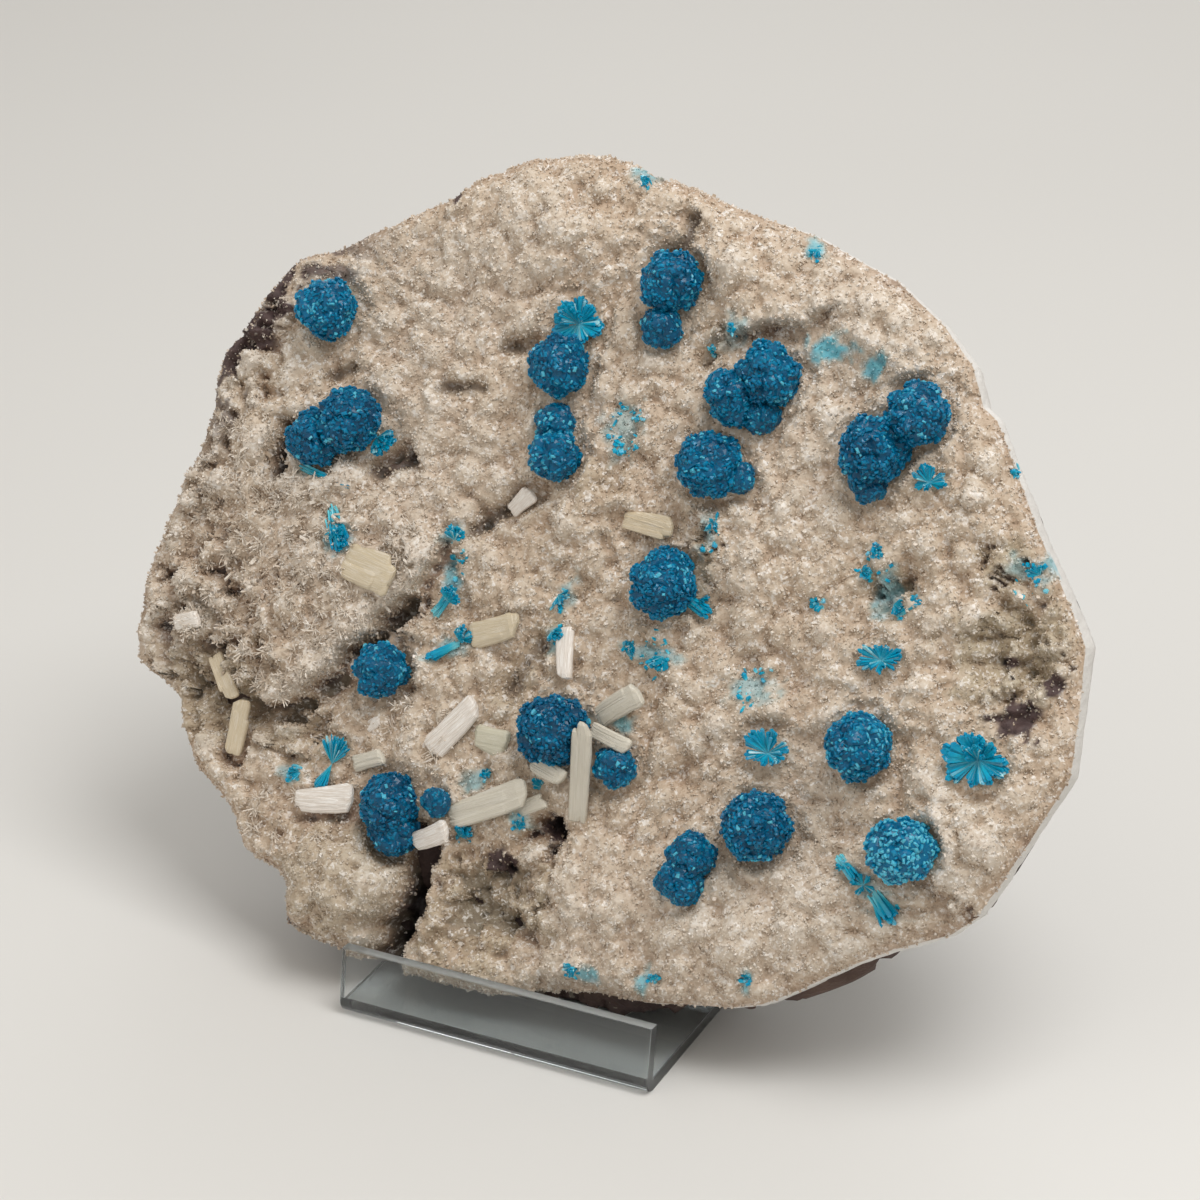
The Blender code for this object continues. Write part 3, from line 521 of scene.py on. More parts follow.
def scatter_lumps():
    """Seeded centres, radii and rises of the crust's small lumps, thrown one
    by one and kept when far enough from those before."""
    rng = np.random.default_rng(7)
    kept = np.zeros((0, 4))
    for cu, cv, radius in rng.uniform((-76, -64, 1.2), (76, 64, 3.4), (12000, 3)):
        edge = outline_radius(math.atan2(cv, cu)) - math.hypot(cu, cv)
        if edge < 0.5:
            continue
        gap = np.hypot(kept[:, 0] - cu, kept[:, 1] - cv) / (0.62 * (kept[:, 2] + radius))
        if len(kept) and gap.min() < 1:
            continue
        rise = radius * rng.uniform(0.3, 0.7)
        kept = np.vstack([kept, (cu, cv, radius, rise)])
    return kept


def small_lumps(u, v):
    """The highest of the small lumps at each point: a dome with a wavy rim,
    rise times the square root of one less the squared share of its radius."""
    top = np.zeros(u.shape)
    for k, (cu, cv, radius, rise) in enumerate(scatter_lumps()):
        near = np.flatnonzero(np.hypot(u - cu, v - cv) < 1.3 * radius)
        du, dv = u[near] - cu, v[near] - cv
        a = np.arctan2(dv, du)
        reach = radius * (1 + 0.10 * np.sin(3 * a + k) + 0.07 * np.sin(5 * a + 2.3 * k))
        q = 1 - (du * du + dv * dv) / reach ** 2
        top[near] = np.maximum(top[near], rise * np.sqrt(np.clip(q, 0, 1)))
    return top


def blur(values, cells):
    """A grid of values averaged over a square of cells, three times."""
    for _ in range(3):
        for axis in (0, 1):
            pad = [(0, 0), (0, 0)]
            pad[axis] = (cells + 1, cells)
            run = np.cumsum(np.pad(values, pad, mode="edge"), axis=axis)
            size = values.shape[axis]
            high = np.take(run, np.arange(size) + 2 * cells + 1, axis=axis)
            low = np.take(run, np.arange(size), axis=axis)
            values = (high - low) / (2 * cells + 1)
    return values


def disc_grid(cells):
    """A square grid laid on the outline: concentric squares become rings.
    Gives each point's angle, its share of the outline's radius, the faces,
    and the numbers of the points round the border, anticlockwise."""
    line = np.linspace(-1, 1, cells + 1)
    x, y = (a.ravel() for a in np.meshgrid(line, line))
    swap = np.abs(y) > np.abs(x)
    ring = np.where(swap, y, x)
    safe = np.where(np.abs(ring) < 1e-9, 1.0, ring)
    angle = np.where(swap, math.pi / 2 - math.pi / 4 * x / safe, math.pi / 4 * y / safe)
    theta = np.arctan2(ring * np.sin(angle), ring * np.cos(angle))
    number = np.arange((cells + 1) ** 2).reshape(cells + 1, cells + 1)
    a, b = number[:-1, :-1].ravel(), number[:-1, 1:].ravel()
    c, d = number[1:, 1:].ravel(), number[1:, :-1].ravel()
    border = np.concatenate([
        number[0, :-1], number[:-1, -1], number[-1, :0:-1], number[:0:-1, 0]])
    return theta, np.abs(ring), np.stack([a, b, c, d], 1), border


def waves(theta, level, size):
    """A broken, uneven wall: a repeatable wobble round the plate."""
    a = np.sin(5 * theta + 2.1 * level) + 0.7 * np.sin(11 * theta + 4.7 * level)
    return size * (a + 0.5 * np.sin(23 * theta + 1.3 * level))


def wall_rings(theta, crust):
    """The wall's inset and height at levels 0 to 5, from the crust's edge to
    the back, close to the solids' own. The sawn band at the right is deeper."""
    foot = 3.0 * np.exp(-((theta + 1.38) / 0.24) ** 2)
    foot = foot + 1.0 * np.exp(-((theta + 0.85) / 0.35) ** 2)
    right = 1.4 * np.clip(np.cos(theta - 0.3), 0, 1)
    taper = 9 + 5.5 * np.cos(theta) + 1.5 * np.sin(theta)
    cut = np.clip(1.4 * np.cos(theta), 0, 1)
    insets = [
        right,
        -0.2 + right + waves(theta, 1, 0.15),
        0.5 - 0.45 * cut + right + waves(theta, 2, 0.2),
        0.3 * taper * (1 - np.clip(foot, 0, 1)) - foot + right + waves(theta, 3, 0.4),
        0.64 * taper + right + waves(theta, 4, 0.7),
        taper + right + waves(theta, 5, 0.6),
    ]
    heights = [
        crust, crust - 1.6, crust - 3.8 - 0.9 * cut, 0 * theta - 10, 0 * theta - 18,
        0 * theta - 25 + back_bumps(theta, outline_radius(theta) - insets[5]),
    ]
    return np.array(insets), np.array(heights)


def back_bumps(theta, radius):
    """The back's broad bumps, kept flat where the backrest bears."""
    u, v = radius * np.cos(theta), radius * np.sin(theta)
    bumps = 1.3 * np.sin(u / 7 + 1.3 * np.sin(v / 9)) + 1.1 * np.sin(v / 6 - u / 13)
    clear = (np.abs(u + FACE_U) < STAND_WIDTH / 2 + 11) & (v < 27)
    return np.where(clear, np.clip(bumps, 0, 0.8), bumps)


def between(stack, level):
    """A row between the rows of a stack, by a level that may be a fraction."""
    low = min(int(level), len(stack) - 2)
    return stack[low] * (1 - level + low) + stack[low + 1] * (level - low)


def facets(x, y, cell, seed):
    """Fracture faces: each seeded cell has a tilted plane, and a point takes
    the planes of the nearest cells, weighted by a steep bell of distance."""
    rng = np.random.default_rng(seed)
    x0, y0 = x.min() - cell, y.min() - cell
    nx, ny = int((x.max() - x0) / cell) + 2, int((y.max() - y0) / cell) + 2
    gx, gy = np.meshgrid(np.arange(nx), np.arange(ny))
    cx = x0 + (gx.ravel() + rng.uniform(-0.45, 0.45, nx * ny)) * cell
    cy = y0 + (gy.ravel() + rng.uniform(-0.45, 0.45, nx * ny)) * cell
    tilt = rng.uniform(-0.32, 0.32, (2, nx * ny))
    rise = rng.uniform(-0.06, 0.06, nx * ny) * cell
    total, weight = np.zeros(x.shape), np.zeros(x.shape)
    for k in range(nx * ny):
        dx, dy = x - cx[k], y - cy[k]
        w = np.exp(-(dx * dx + dy * dy) / (0.30 * cell) ** 2) + 1e-12
        total += w * (rise[k] + tilt[0, k] * dx + tilt[1, k] * dy)
        weight += w
    return total / weight


def make_piece(name, points, faces, look, slot, stands_for=(), shade=True, **values):
    """A closed mesh from points in mm (world) and lists of faces, turned
    outwards, with its finish and the solids it stands for, shaded
    smooth or flat, and with a value at each point for each named mark.
    The slot is not used."""
    mesh = bpy.data.meshes.new(name)
    mesh.vertices.add(len(points))
    mesh.vertices.foreach_set("co", (points * MM).astype(np.float32).ravel())
    volume = 0.0
    for group in faces:
        a, b, c = points[group[:, 0]], points[group[:, 1]], points[group[:, 2]]
        volume += np.einsum("ij,ij->", a, np.cross(b, c))
        if group.shape[1] == 4:
            d = points[group[:, 3]]
            volume += np.einsum("ij,ij->", a, np.cross(c, d))
    if volume < 0:
        faces = [group[:, ::-1] for group in faces]
    corners = np.concatenate([group.ravel() for group in faces])
    sizes = np.concatenate([np.full(len(group), group.shape[1]) for group in faces])
    mesh.loops.add(len(corners))
    mesh.loops.foreach_set("vertex_index", corners.astype(np.int32))
    mesh.polygons.add(len(sizes))
    starts = np.concatenate([[0], np.cumsum(sizes)[:-1]])
    mesh.polygons.foreach_set("loop_start", starts.astype(np.int32))
    mesh.update(calc_edges=True)
    mesh.validate()
    if shade:
        mesh.shade_smooth()
    else:
        mesh.shade_flat()
    for key, value in values.items():
        field = mesh.attributes.new(key, "FLOAT", "POINT")
        field.data.foreach_set("value", np.asarray(value, np.float32))
    made = bpy.data.objects.new(name, mesh)
    bpy.context.scene.collection.objects.link(made)
    mesh.materials.append(look)
    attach(made, "root")
    if stands_for:
        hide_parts(*stands_for)


def ring_faces(upper, lower):
    """Quads between two rings of point numbers that run anticlockwise, seen
    from the upper one's side, facing outwards."""
    return np.stack([lower, np.roll(lower, -1), np.roll(upper, -1), upper], 1)


def rgb(r, g, b):
    """A screen colour, 0 to 255, as the linear colour that Blender keeps."""
    c = np.array([r, g, b]) / 255
    c = np.where(c <= 0.04045, c / 12.92, ((c + 0.055) / 1.055) ** 2.4)
    return (*(float(x) for x in c), 1.0)


def put(tree, kind, settings=None, sockets=None):
    """Add a node, set its options, and set or link its sockets."""
    made = tree.nodes.new(kind)
    for key, value in (settings or {}).items():
        setattr(made, key, value)
    for key, value in (sockets or {}).items():
        if isinstance(value, bpy.types.NodeSocket):
            tree.links.new(value, made.inputs[key])
        else:
            made.inputs[key].default_value = value
    return made


def mixed(tree, share, a, b, mode="MIX"):
    """Two colours mixed by a share, each a colour or a socket."""
    made = put(tree, "ShaderNodeMix", {"data_type": "RGBA", "blend_type": mode})
    for key, value in ((0, share), (6, a), (7, b)):
        if isinstance(value, bpy.types.NodeSocket):
            tree.links.new(value, made.inputs[key])
        else:
            made.inputs[key].default_value = value
    return made.outputs[2]


def sums(tree, operation, a, b, clamp=False):
    """One step of arithmetic between two values or sockets."""
    made = put(tree, "ShaderNodeMath", {"operation": operation, "use_clamp": clamp}, {0: a, 1: b})
    return made.outputs[0]


def swing(tree, value, middle, gain):
    """A value's distance from a middle one, times a gain."""
    return sums(tree, "MULTIPLY", sums(tree, "SUBTRACT", value, middle), gain)


def excess(tree, value, floor, gain):
    """How far a value stands above a floor, times a gain, kept from 0 to 1."""
    return sums(tree, "MULTIPLY", sums(tree, "SUBTRACT", value, floor, True), gain, True)


def ramp(tree, value, stops):
    """Colours along a value: stops of place and colour."""
    made = put(tree, "ShaderNodeValToRGB", None, {"Fac": value})
    band = made.color_ramp
    while len(band.elements) < len(stops):
        band.elements.new(0.5)
    for element, (place, colour) in zip(band.elements, stops):
        element.position = place
        element.color = colour
    return made.outputs["Color"]


def reading(tree, name):
    """The value of a piece's own attribute."""
    return put(tree, "ShaderNodeAttribute", {"attribute_name": name}).outputs["Fac"]


def speckle(tree, coords, scale, detail=2.0, rough=0.5):
    """Noise of one scale on the given coordinates, as a value."""
    return put(tree, "ShaderNodeTexNoise", None, {
        "Vector": coords, "Scale": scale, "Detail": detail, "Roughness": rough,
    }).outputs["Fac"]


def new_look(name, **shader_values):
    """A material with its Principled shader's own sockets set."""
    look = bpy.data.materials.new(name)
    look.use_nodes = True
    tree = look.node_tree
    shader = tree.nodes["Principled BSDF"]
    for key, value in shader_values.items():
        shader.inputs[key.replace("_", " ")].default_value = value
    coords = put(tree, "ShaderNodeTexCoord").outputs["Object"]
    return look, tree, shader, coords


def crystal_grain_group():
    """Group: a crystalline grain. Cells of two sizes give a small facet
    height, soft noise gives a tint, and Cell is each cell's own value, the
    mean of the two sizes. Tint and Cell go from 0 to 1."""
    tree = bpy.data.node_groups.new("crystal_grain", "ShaderNodeTree")
    tree.interface.new_socket("Scale", in_out="INPUT", socket_type="NodeSocketFloat")
    tree.interface.new_socket("Height", in_out="OUTPUT", socket_type="NodeSocketFloat")
    tree.interface.new_socket("Tint", in_out="OUTPUT", socket_type="NodeSocketFloat")
    tree.interface.new_socket("Cell", in_out="OUTPUT", socket_type="NodeSocketFloat")
    given = tree.nodes.new("NodeGroupInput")
    made = tree.nodes.new("NodeGroupOutput")
    coords = put(tree, "ShaderNodeTexCoord").outputs["Object"]
    cells = put(tree, "ShaderNodeTexVoronoi", None, {
        "Vector": coords, "Scale": given.outputs["Scale"]})
    finer = put(tree, "ShaderNodeTexVoronoi", None, {
        "Vector": coords, "Scale": sums(tree, "MULTIPLY", given.outputs["Scale"], 2.3)})
    soft = speckle(tree, coords, given.outputs["Scale"], 3.0, 0.6)
    small = sums(tree, "MULTIPLY", finer.outputs["Distance"], 0.5)
    tree.links.new(sums(tree, "ADD", cells.outputs["Distance"], small), made.inputs["Height"])
    tree.links.new(soft, made.inputs["Tint"])
    large, little = (
        put(tree, "ShaderNodeSeparateColor", None, {"Color": size.outputs["Color"]}).outputs["Red"]
        for size in (cells, finer))
    own = sums(tree, "ADD", sums(tree, "MULTIPLY", large, 0.5), sums(tree, "MULTIPLY", little, 0.5))
    tree.links.new(own, made.inputs["Cell"])
    return tree


GRAIN = crystal_grain_group()


def grain_of(tree, scale):
    """The grain group placed in a material with its own scale: its outputs,
    by name."""
    made = put(tree, "ShaderNodeGroup", {"node_tree": GRAIN})
    made.inputs["Scale"].default_value = scale
    return made.outputs


def roughened(tree, shader, height, strength, distance):
    """Feed a height to the shader's normal through a Bump node."""
    made = put(tree, "ShaderNodeBump", None, {
        "Strength": strength, "Distance": distance, "Height": height})
    tree.links.new(made.outputs["Normal"], shader.inputs["Normal"])


def crust_colour(tree, coords, lift):
    """The crust's colour: painted shade, brown in the hollows, beige between and cream on
    the lumps, which are painted lighter; duller grains and bright grains of painted glint;
    ochre where it is stained, and painted shade of brown along the crevices;
    pale on the sawn edge; blue over hidden cavansite; dark where the rock
    shows, in the crevices and pits with painted shade, and near black with
    painted shade in the deepest hollows."""
    hollow = reading(tree, "hollow")
    wide = speckle(tree, coords, 90.0, 3.0, 0.6)
    fine = speckle(tree, coords, 700.0, 3.0, 0.6)
    cell = grain_of(tree, 1150.0)["Cell"]
    # The relief shade is painted shade: brown in the hollows, beige between, cream on the lumps.
    level = sums(tree, "ADD", hollow, swing(tree, wide, 0.5, 0.4))
    level = sums(tree, "ADD", level, swing(tree, fine, 0.5, 0.15))
    level = sums(tree, "ADD", level, lift, True)
    crust = ramp(tree, level, [
        (0.0, rgb(70, 54, 48)), (0.2, rgb(148, 122, 102)), (0.4, rgb(184, 161, 138)),
        (0.6, rgb(195, 175, 153)), (0.82, rgb(203, 187, 167)), (1.0, rgb(218, 206, 191))])
    cool = excess(tree, speckle(tree, coords, 22.0), 0.42, 1.6)
    crust = mixed(tree, cool, crust, mixed(tree, 0.35, crust, rgb(222, 218, 212)))
    # Real stains, and painted shade of brown along the crevices.
    ochre_and_shade = mixed(tree, fine, rgb(128, 112, 90), rgb(204, 192, 164))
    crust = mixed(tree, reading(tree, "stain"), crust, ochre_and_shade)
    dull = excess(tree, 0.45, cell, 1.3)
    crust = mixed(tree, dull, crust, mixed(tree, 1.0, crust, rgb(196, 178, 160), "MULTIPLY"))
    # Painted glints: the brightest grains are painted near white.
    glint = excess(tree, cell, 0.62, 2.4)
    crust = mixed(tree, glint, crust, rgb(242, 237, 231))
    drawn = put(tree, "ShaderNodeMapping", None, {"Vector": coords, "Scale": (1.0, 0.25, 1.0)})
    marks = speckle(tree, drawn.outputs["Vector"], 900.0)
    wall = mixed(tree, marks, rgb(204, 200, 195), rgb(232, 229, 224))
    crust = mixed(tree, reading(tree, "sawn"), crust, wall)
    blue = mixed(tree, fine, rgb(30, 140, 168), rgb(150, 214, 220))
    tinted = sums(tree, "MULTIPLY", reading(tree, "blue"), sums(tree, "ADD", fine, 0.6), True)
    crust = mixed(tree, tinted, crust, blue)
    rock = mixed(tree, fine, rgb(50, 38, 40), rgb(104, 84, 80))
    # Painted shade: the rock colour goes near black in the deepest hollows.
    deep = sums(tree, "SUBTRACT", 1.0, sums(tree, "MULTIPLY", hollow, 4.0), True)
    rock = mixed(tree, deep, rock, rgb(26, 19, 18))
    return mixed(tree, reading(tree, "rock"), crust, rock)


def crust_look():
    """The crust between its crystals: its colour with painted shade and painted glints, dull and grainy."""
    look, tree, shader, coords = new_look(
        "stilbite_crust_look", Roughness=0.6, Specular_IOR_Level=0.3)
    tree.links.new(crust_colour(tree, coords, 0.0), shader.inputs["Base Color"])
    roughened(tree, shader, grain_of(tree, 1500.0)["Height"], 0.35, 0.0003)
    return look


def sugar_look():
    """The crust's small crystals: the crust's colour with its painted shade, lighter and glassy, and painted
    glints on a few.
    """
    look, tree, shader, coords = new_look(
        "stilbite_sugar_look", Roughness=0.36, IOR=1.5, Specular_IOR_Level=0.4)
    lift = sums(tree, "MULTIPLY", reading(tree, "grow"), 0.22)
    colour = crust_colour(tree, coords, lift)
    # Painted glints: crystals with a high tint are painted near white.
    spark = sums(tree, "MULTIPLY", reading(tree, "tint"), 0.5)
    colour = mixed(tree, spark, colour, rgb(236, 230, 220))
    tree.links.new(colour, shader.inputs["Base Color"])
    return look


def cavansite_look():
    """Cavansite: deep blue balls, patchy, with painted glints on a few pale tips, and sprays
    that are lighter, palest at their middle, with a few pale blades of painted highlight."""
    look, tree, shader, coords = new_look(
        "cavansite_look", Roughness=0.28, IOR=1.54, Specular_IOR_Level=0.28,
        Subsurface_Weight=0.3, Subsurface_Scale=0.001, Subsurface_Radius=(0.1, 0.6, 0.9))
    grains = grain_of(tree, 900.0)
    own = reading(tree, "tint")
    patch = speckle(tree, coords, 240.0)
    level = sums(tree, "ADD", sums(tree, "MULTIPLY", reading(tree, "grow"), 0.5), 0.24)
    level = sums(tree, "ADD", level, swing(tree, patch, 0.5, 0.9))
    level = sums(tree, "ADD", level, swing(tree, grains["Tint"], 0.5, 0.3))
    level = sums(tree, "ADD", level, swing(tree, own, 0.5, 0.28), True)
    # The palest stop is painted highlight, reached by the pale tips.
    ball = ramp(tree, level, [
        (0.0, rgb(0, 66, 98)), (0.5, rgb(0, 99, 138)), (0.85, rgb(0, 126, 166)),
        (1.0, rgb(84, 180, 208))])
    out = sums(tree, "ADD", reading(tree, "grow"), swing(tree, patch, 0.5, 0.8), True)
    spray = ramp(tree, out, [
        (0.0, rgb(116, 210, 228)), (0.35, rgb(30, 172, 204)), (0.8, rgb(0, 152, 190)),
        (1.0, rgb(0, 138, 178))])
    # Painted highlights: tints above one make pale blades.
    spray = mixed(tree, excess(tree, own, 1.0, 0.8), spray, rgb(176, 228, 234))
    tree.links.new(mixed(tree, reading(tree, "open"), ball, spray), shader.inputs["Base Color"])
    roughened(tree, shader, grains["Height"], 0.3, 0.0002)
    return look


def blade_look(name, colour, shade, clear, lines, rough):
    """A larger stilbite blade: milky, with fine darker lines along it, fine
    bright lines of painted sheen, and a plain share of see-through."""
    look, tree, shader, coords = new_look(
        name, Roughness=rough, IOR=1.5, Transmission_Weight=clear)
    across = sums(tree, "MULTIPLY", reading(tree, "across"), 34.0)
    run = sums(tree, "MULTIPLY", reading(tree, "grow"), 2.5)
    place = put(tree, "ShaderNodeCombineXYZ", None, {"X": across, "Y": run}).outputs["Vector"]
    fibre = speckle(tree, place, 1.0, 3.0, 0.7)
    base = mixed(tree, speckle(tree, coords, 180.0), shade, colour)
    # Painted sheen: bright lines along the fibres.
    painted_sheen = sums(tree, "MULTIPLY", excess(tree, fibre, 0.48, 9.0), lines)
    base = mixed(tree, painted_sheen, base, rgb(252, 248, 242))
    dark = sums(tree, "MULTIPLY", excess(tree, 0.47, fibre, 8.0), 0.5 * lines)
    base = mixed(tree, dark, base, rgb(206, 190, 170))
    tree.links.new(base, shader.inputs["Base Color"])
    roughened(tree, shader, fibre, 0.4, 0.0003)
    return look


def basalt_look():
    """Broken basalt: dark purple-brown, mottled, rusty in places, with pale
    specks whose rims are bent by noise."""
    look, tree, shader, coords = new_look("basalt_look", Roughness=0.85)
    grains = grain_of(tree, 700.0)
    tint = grains["Tint"]
    wide = speckle(tree, coords, 45.0, 4.0, 0.6)
    colour = ramp(tree, wide, [
        (0.25, rgb(46, 36, 38)), (0.5, rgb(78, 62, 60)), (0.75, rgb(112, 92, 86))])
    colour = mixed(tree, sums(tree, "MULTIPLY", tint, 0.45), colour, rgb(40, 32, 34))
    rust = excess(tree, speckle(tree, coords, 28.0, 3.0, 0.6), 0.5, 3.0)
    colour = mixed(tree, rust, colour, mixed(tree, tint, rgb(70, 48, 38), rgb(124, 98, 76)))
    bent = put(tree, "ShaderNodeTexNoise", None, {"Vector": coords, "Scale": 400.0, "Detail": 2.0})
    bent = mixed(tree, 0.004, coords, bent.outputs["Color"], "ADD")
    spots = put(tree, "ShaderNodeTexVoronoi", None, {"Vector": bent, "Scale": 170.0})
    reach = swing(tree, speckle(tree, coords, 60.0, 2.0, 0.6), 0.42, 1.1)
    spot = sums(tree, "LESS_THAN", spots.outputs["Distance"], reach)
    spot = sums(tree, "MULTIPLY", spot, 0.7)
    colour = mixed(tree, spot, colour, mixed(tree, tint, rgb(120, 108, 96), rgb(186, 176, 160)))
    tree.links.new(colour, shader.inputs["Base Color"])
    roughened(tree, shader, grains["Height"], 0.7, 0.0004)
    return look


def acrylic_look():
    """The stand: clear sheet, faintly cool, with plain see-through values,
    frosted on its sawn edges and faintly scratched."""
    look, tree, shader, coords = new_look(
        "clear_sheet_look", Roughness=0.03, IOR=1.49, Transmission_Weight=1.0)
    haze = speckle(tree, coords, 40.0)
    middle = (stand_low.x + stand_high.x) / 2
    place = put(tree, "ShaderNodeSeparateXYZ", None, {"Vector": coords}).outputs["X"]
    out = sums(tree, "ABSOLUTE", sums(tree, "SUBTRACT", place, middle), 0.0)
    edge = sums(tree, "GREATER_THAN", out, (STAND_WIDTH / 2 - 0.1) * MM)
    edge = sums(tree, "MAXIMUM", edge, reading(tree, "cut"))
    marks = sums(tree, "MULTIPLY", speckle(tree, coords, 260.0, 4.0, 0.7), 0.12)
    rough = sums(tree, "ADD", sums(tree, "MULTIPLY", edge, 0.4), marks)
    tree.links.new(sums(tree, "SUBTRACT", rough, 0.03, True), shader.inputs["Roughness"])
    tree.links.new(
        mixed(tree, haze, rgb(236, 242, 243), rgb(248, 251, 252)), shader.inputs["Base Color"])
    return look


def floor_look():
    """The floor: plain and pale."""
    look, tree, shader, coords = new_look("floor_look", Roughness=0.6)
    cloudy = mixed(tree, speckle(tree, coords, 3.0), rgb(214, 212, 208), rgb(222, 220, 216))
    tree.links.new(cloudy, shader.inputs["Base Color"])
    return look


CRUST = crust_look()
SUGAR = sugar_look()
BASALT = basalt_look()
CAVANSITE_LOOK = cavansite_look()
# Each kind of blade: colour, darker colour, see-through share, lines (the bright ones painted sheen),
# roughness
BLADE_LOOKS = {
    kind: blade_look("stilbite_%s_look" % kind, *values) for kind, values in {
        "cream": (rgb(214, 198, 168), rgb(198, 180, 148), 0.0, 0.3, 0.24),
        "white": (rgb(232, 223, 213), rgb(218, 207, 195), 0.0, 0.8, 0.3),
        "clear": (rgb(230, 223, 206), rgb(214, 206, 188), 0.15, 0.25, 0.18),
        "green": (rgb(218, 213, 190), rgb(204, 198, 174), 0.15, 0.2, 0.18),
        "honey": (rgb(216, 200, 170), rgb(202, 186, 156), 0.08, 0.25, 0.24),
    }.items()}


def regions(u, v, edge):
    """Shares from 0 to 1: where the rock shows, along the worn upper left
    edge and in spots, with painted shade of the rock's colour in the crevices and pits;
    and where the crust is stained, with painted shade of brown along the crevices."""
    rough = grain(u, v, 2.4, 21) * 0.6 + grain(u, v, 1.0, 22) * 0.4
    theta = np.arctan2(v, u)
    band = np.exp(-((theta - 2.71) / 0.29) ** 4)
    patchy = grain(u, v, 2.8, 23) + 0.5 * grain(u, v, 1.1, 24)
    patchy = smooth(-0.25, 0.1, patchy + 0.5 - 0.09 * edge)
    rock = band * smooth(9.5, 5.0, edge + 3.0 * rough) * patchy
    for cu, cv, ru, rv in ROCK_SPOTS:
        d = np.hypot((u - cu) / ru, (v - cv) / rv) + 1.0 * rough
        rock = np.maximum(rock, smooth(1.0, 0.75, d))
    sunken = np.hypot((u - 62.3) / 10.5, (v - 2.0) / 9)
    stain = 0.7 * smooth(1.1, 0.5, sunken + 0.4 * rough)
    for cu, cv, ru, rv, share in STAINS:
        d = np.hypot((u - cu) / ru, (v - cv) / rv) + 0.5 * rough
        stain = np.maximum(stain, share * smooth(1.1, 0.5, d))
    # Painted shade: the crevices take the dark rock colour and a brown stain colour.
    for line, width, depth in CREVICES:
        near = along(line, u, v)[0] / width + 0.35 * rough
        rock = np.maximum(rock, min(1, depth / 5) * smooth(0.85, 0.3, near))
        stain = np.maximum(stain, 0.5 * smooth(1.0, 0.3, near))
    # Painted shade: brown along the crevice in the middle of the crust.
    streak = along([(-6.5, -8.5), (-9.5, -14), (-11.2, -19)], u, v)[0]
    stain = np.maximum(stain, 0.5 * smooth(1.0, 0.3, streak / 3.4 + 0.4 * rough))
    # Painted shade: the pits take the dark rock colour.
    rock = np.maximum(rock, 0.9 * pits(u, v))
    return np.clip(rock, 0, 1), np.clip(stain, 0, 1)


def crust_heights(u, v, edge):
    """The crust in full: broad form held down at the seats, small lumps, two
    sizes of crystal faces and soft grain, rougher in the crumbly patches,
    with the nodules and pits."""
    hold, level = seat_share(u, v)
    broad = relief(u, v, edge)
    broad = broad * (1 - hold) + np.minimum(broad, level) * hold
    rock, stain = regions(u, v, edge)
    covered = under_crystals(u, v)
    crumb = crumbly(u, v) * (1 - covered)
    rim = smooth(0.0, 2.0, edge)
    size = CRUST_CELLS + 1
    lumps = small_lumps(u, v)
    lumps = 0.7 * lumps + 0.3 * blur(lumps.reshape(size, size), 1).ravel() - 0.6
    lumps = (lumps + 0.45 * grain(u, v, 3.1, 5)) * (1 - 0.9 * covered) * (1 - 0.5 * rock)
    faces = 0.3 * crystal_faces(u, v, 1.9, 6) + 0.3 * crystal_faces(u, v, 1.15, 8)
    rough = 0.25 * grain(u, v, 1.5, 3) + 0.1 * grain(u, v, 0.7, 4) + faces * (1 + 1.6 * crumb + 2.0 * rock)
    rough = rough + crumb * (2.3 * crystal_faces(u, v, 3.4, 10) + 1.3 * grain(u, v, 2.0, 9) - 0.8)
    h = broad + lumps * (0.35 + 0.65 * rim) + rough * (0.35 + 0.65 * rim)
    for cu, cv, radius, rise in NODULES:
        q = 1 - ((u - cu) ** 2 + (v - cv) ** 2) / radius ** 2
        h = h + rise * np.sqrt(np.clip(q, 0, 1))
    return h - 1.1 * pits(u, v), rock, stain


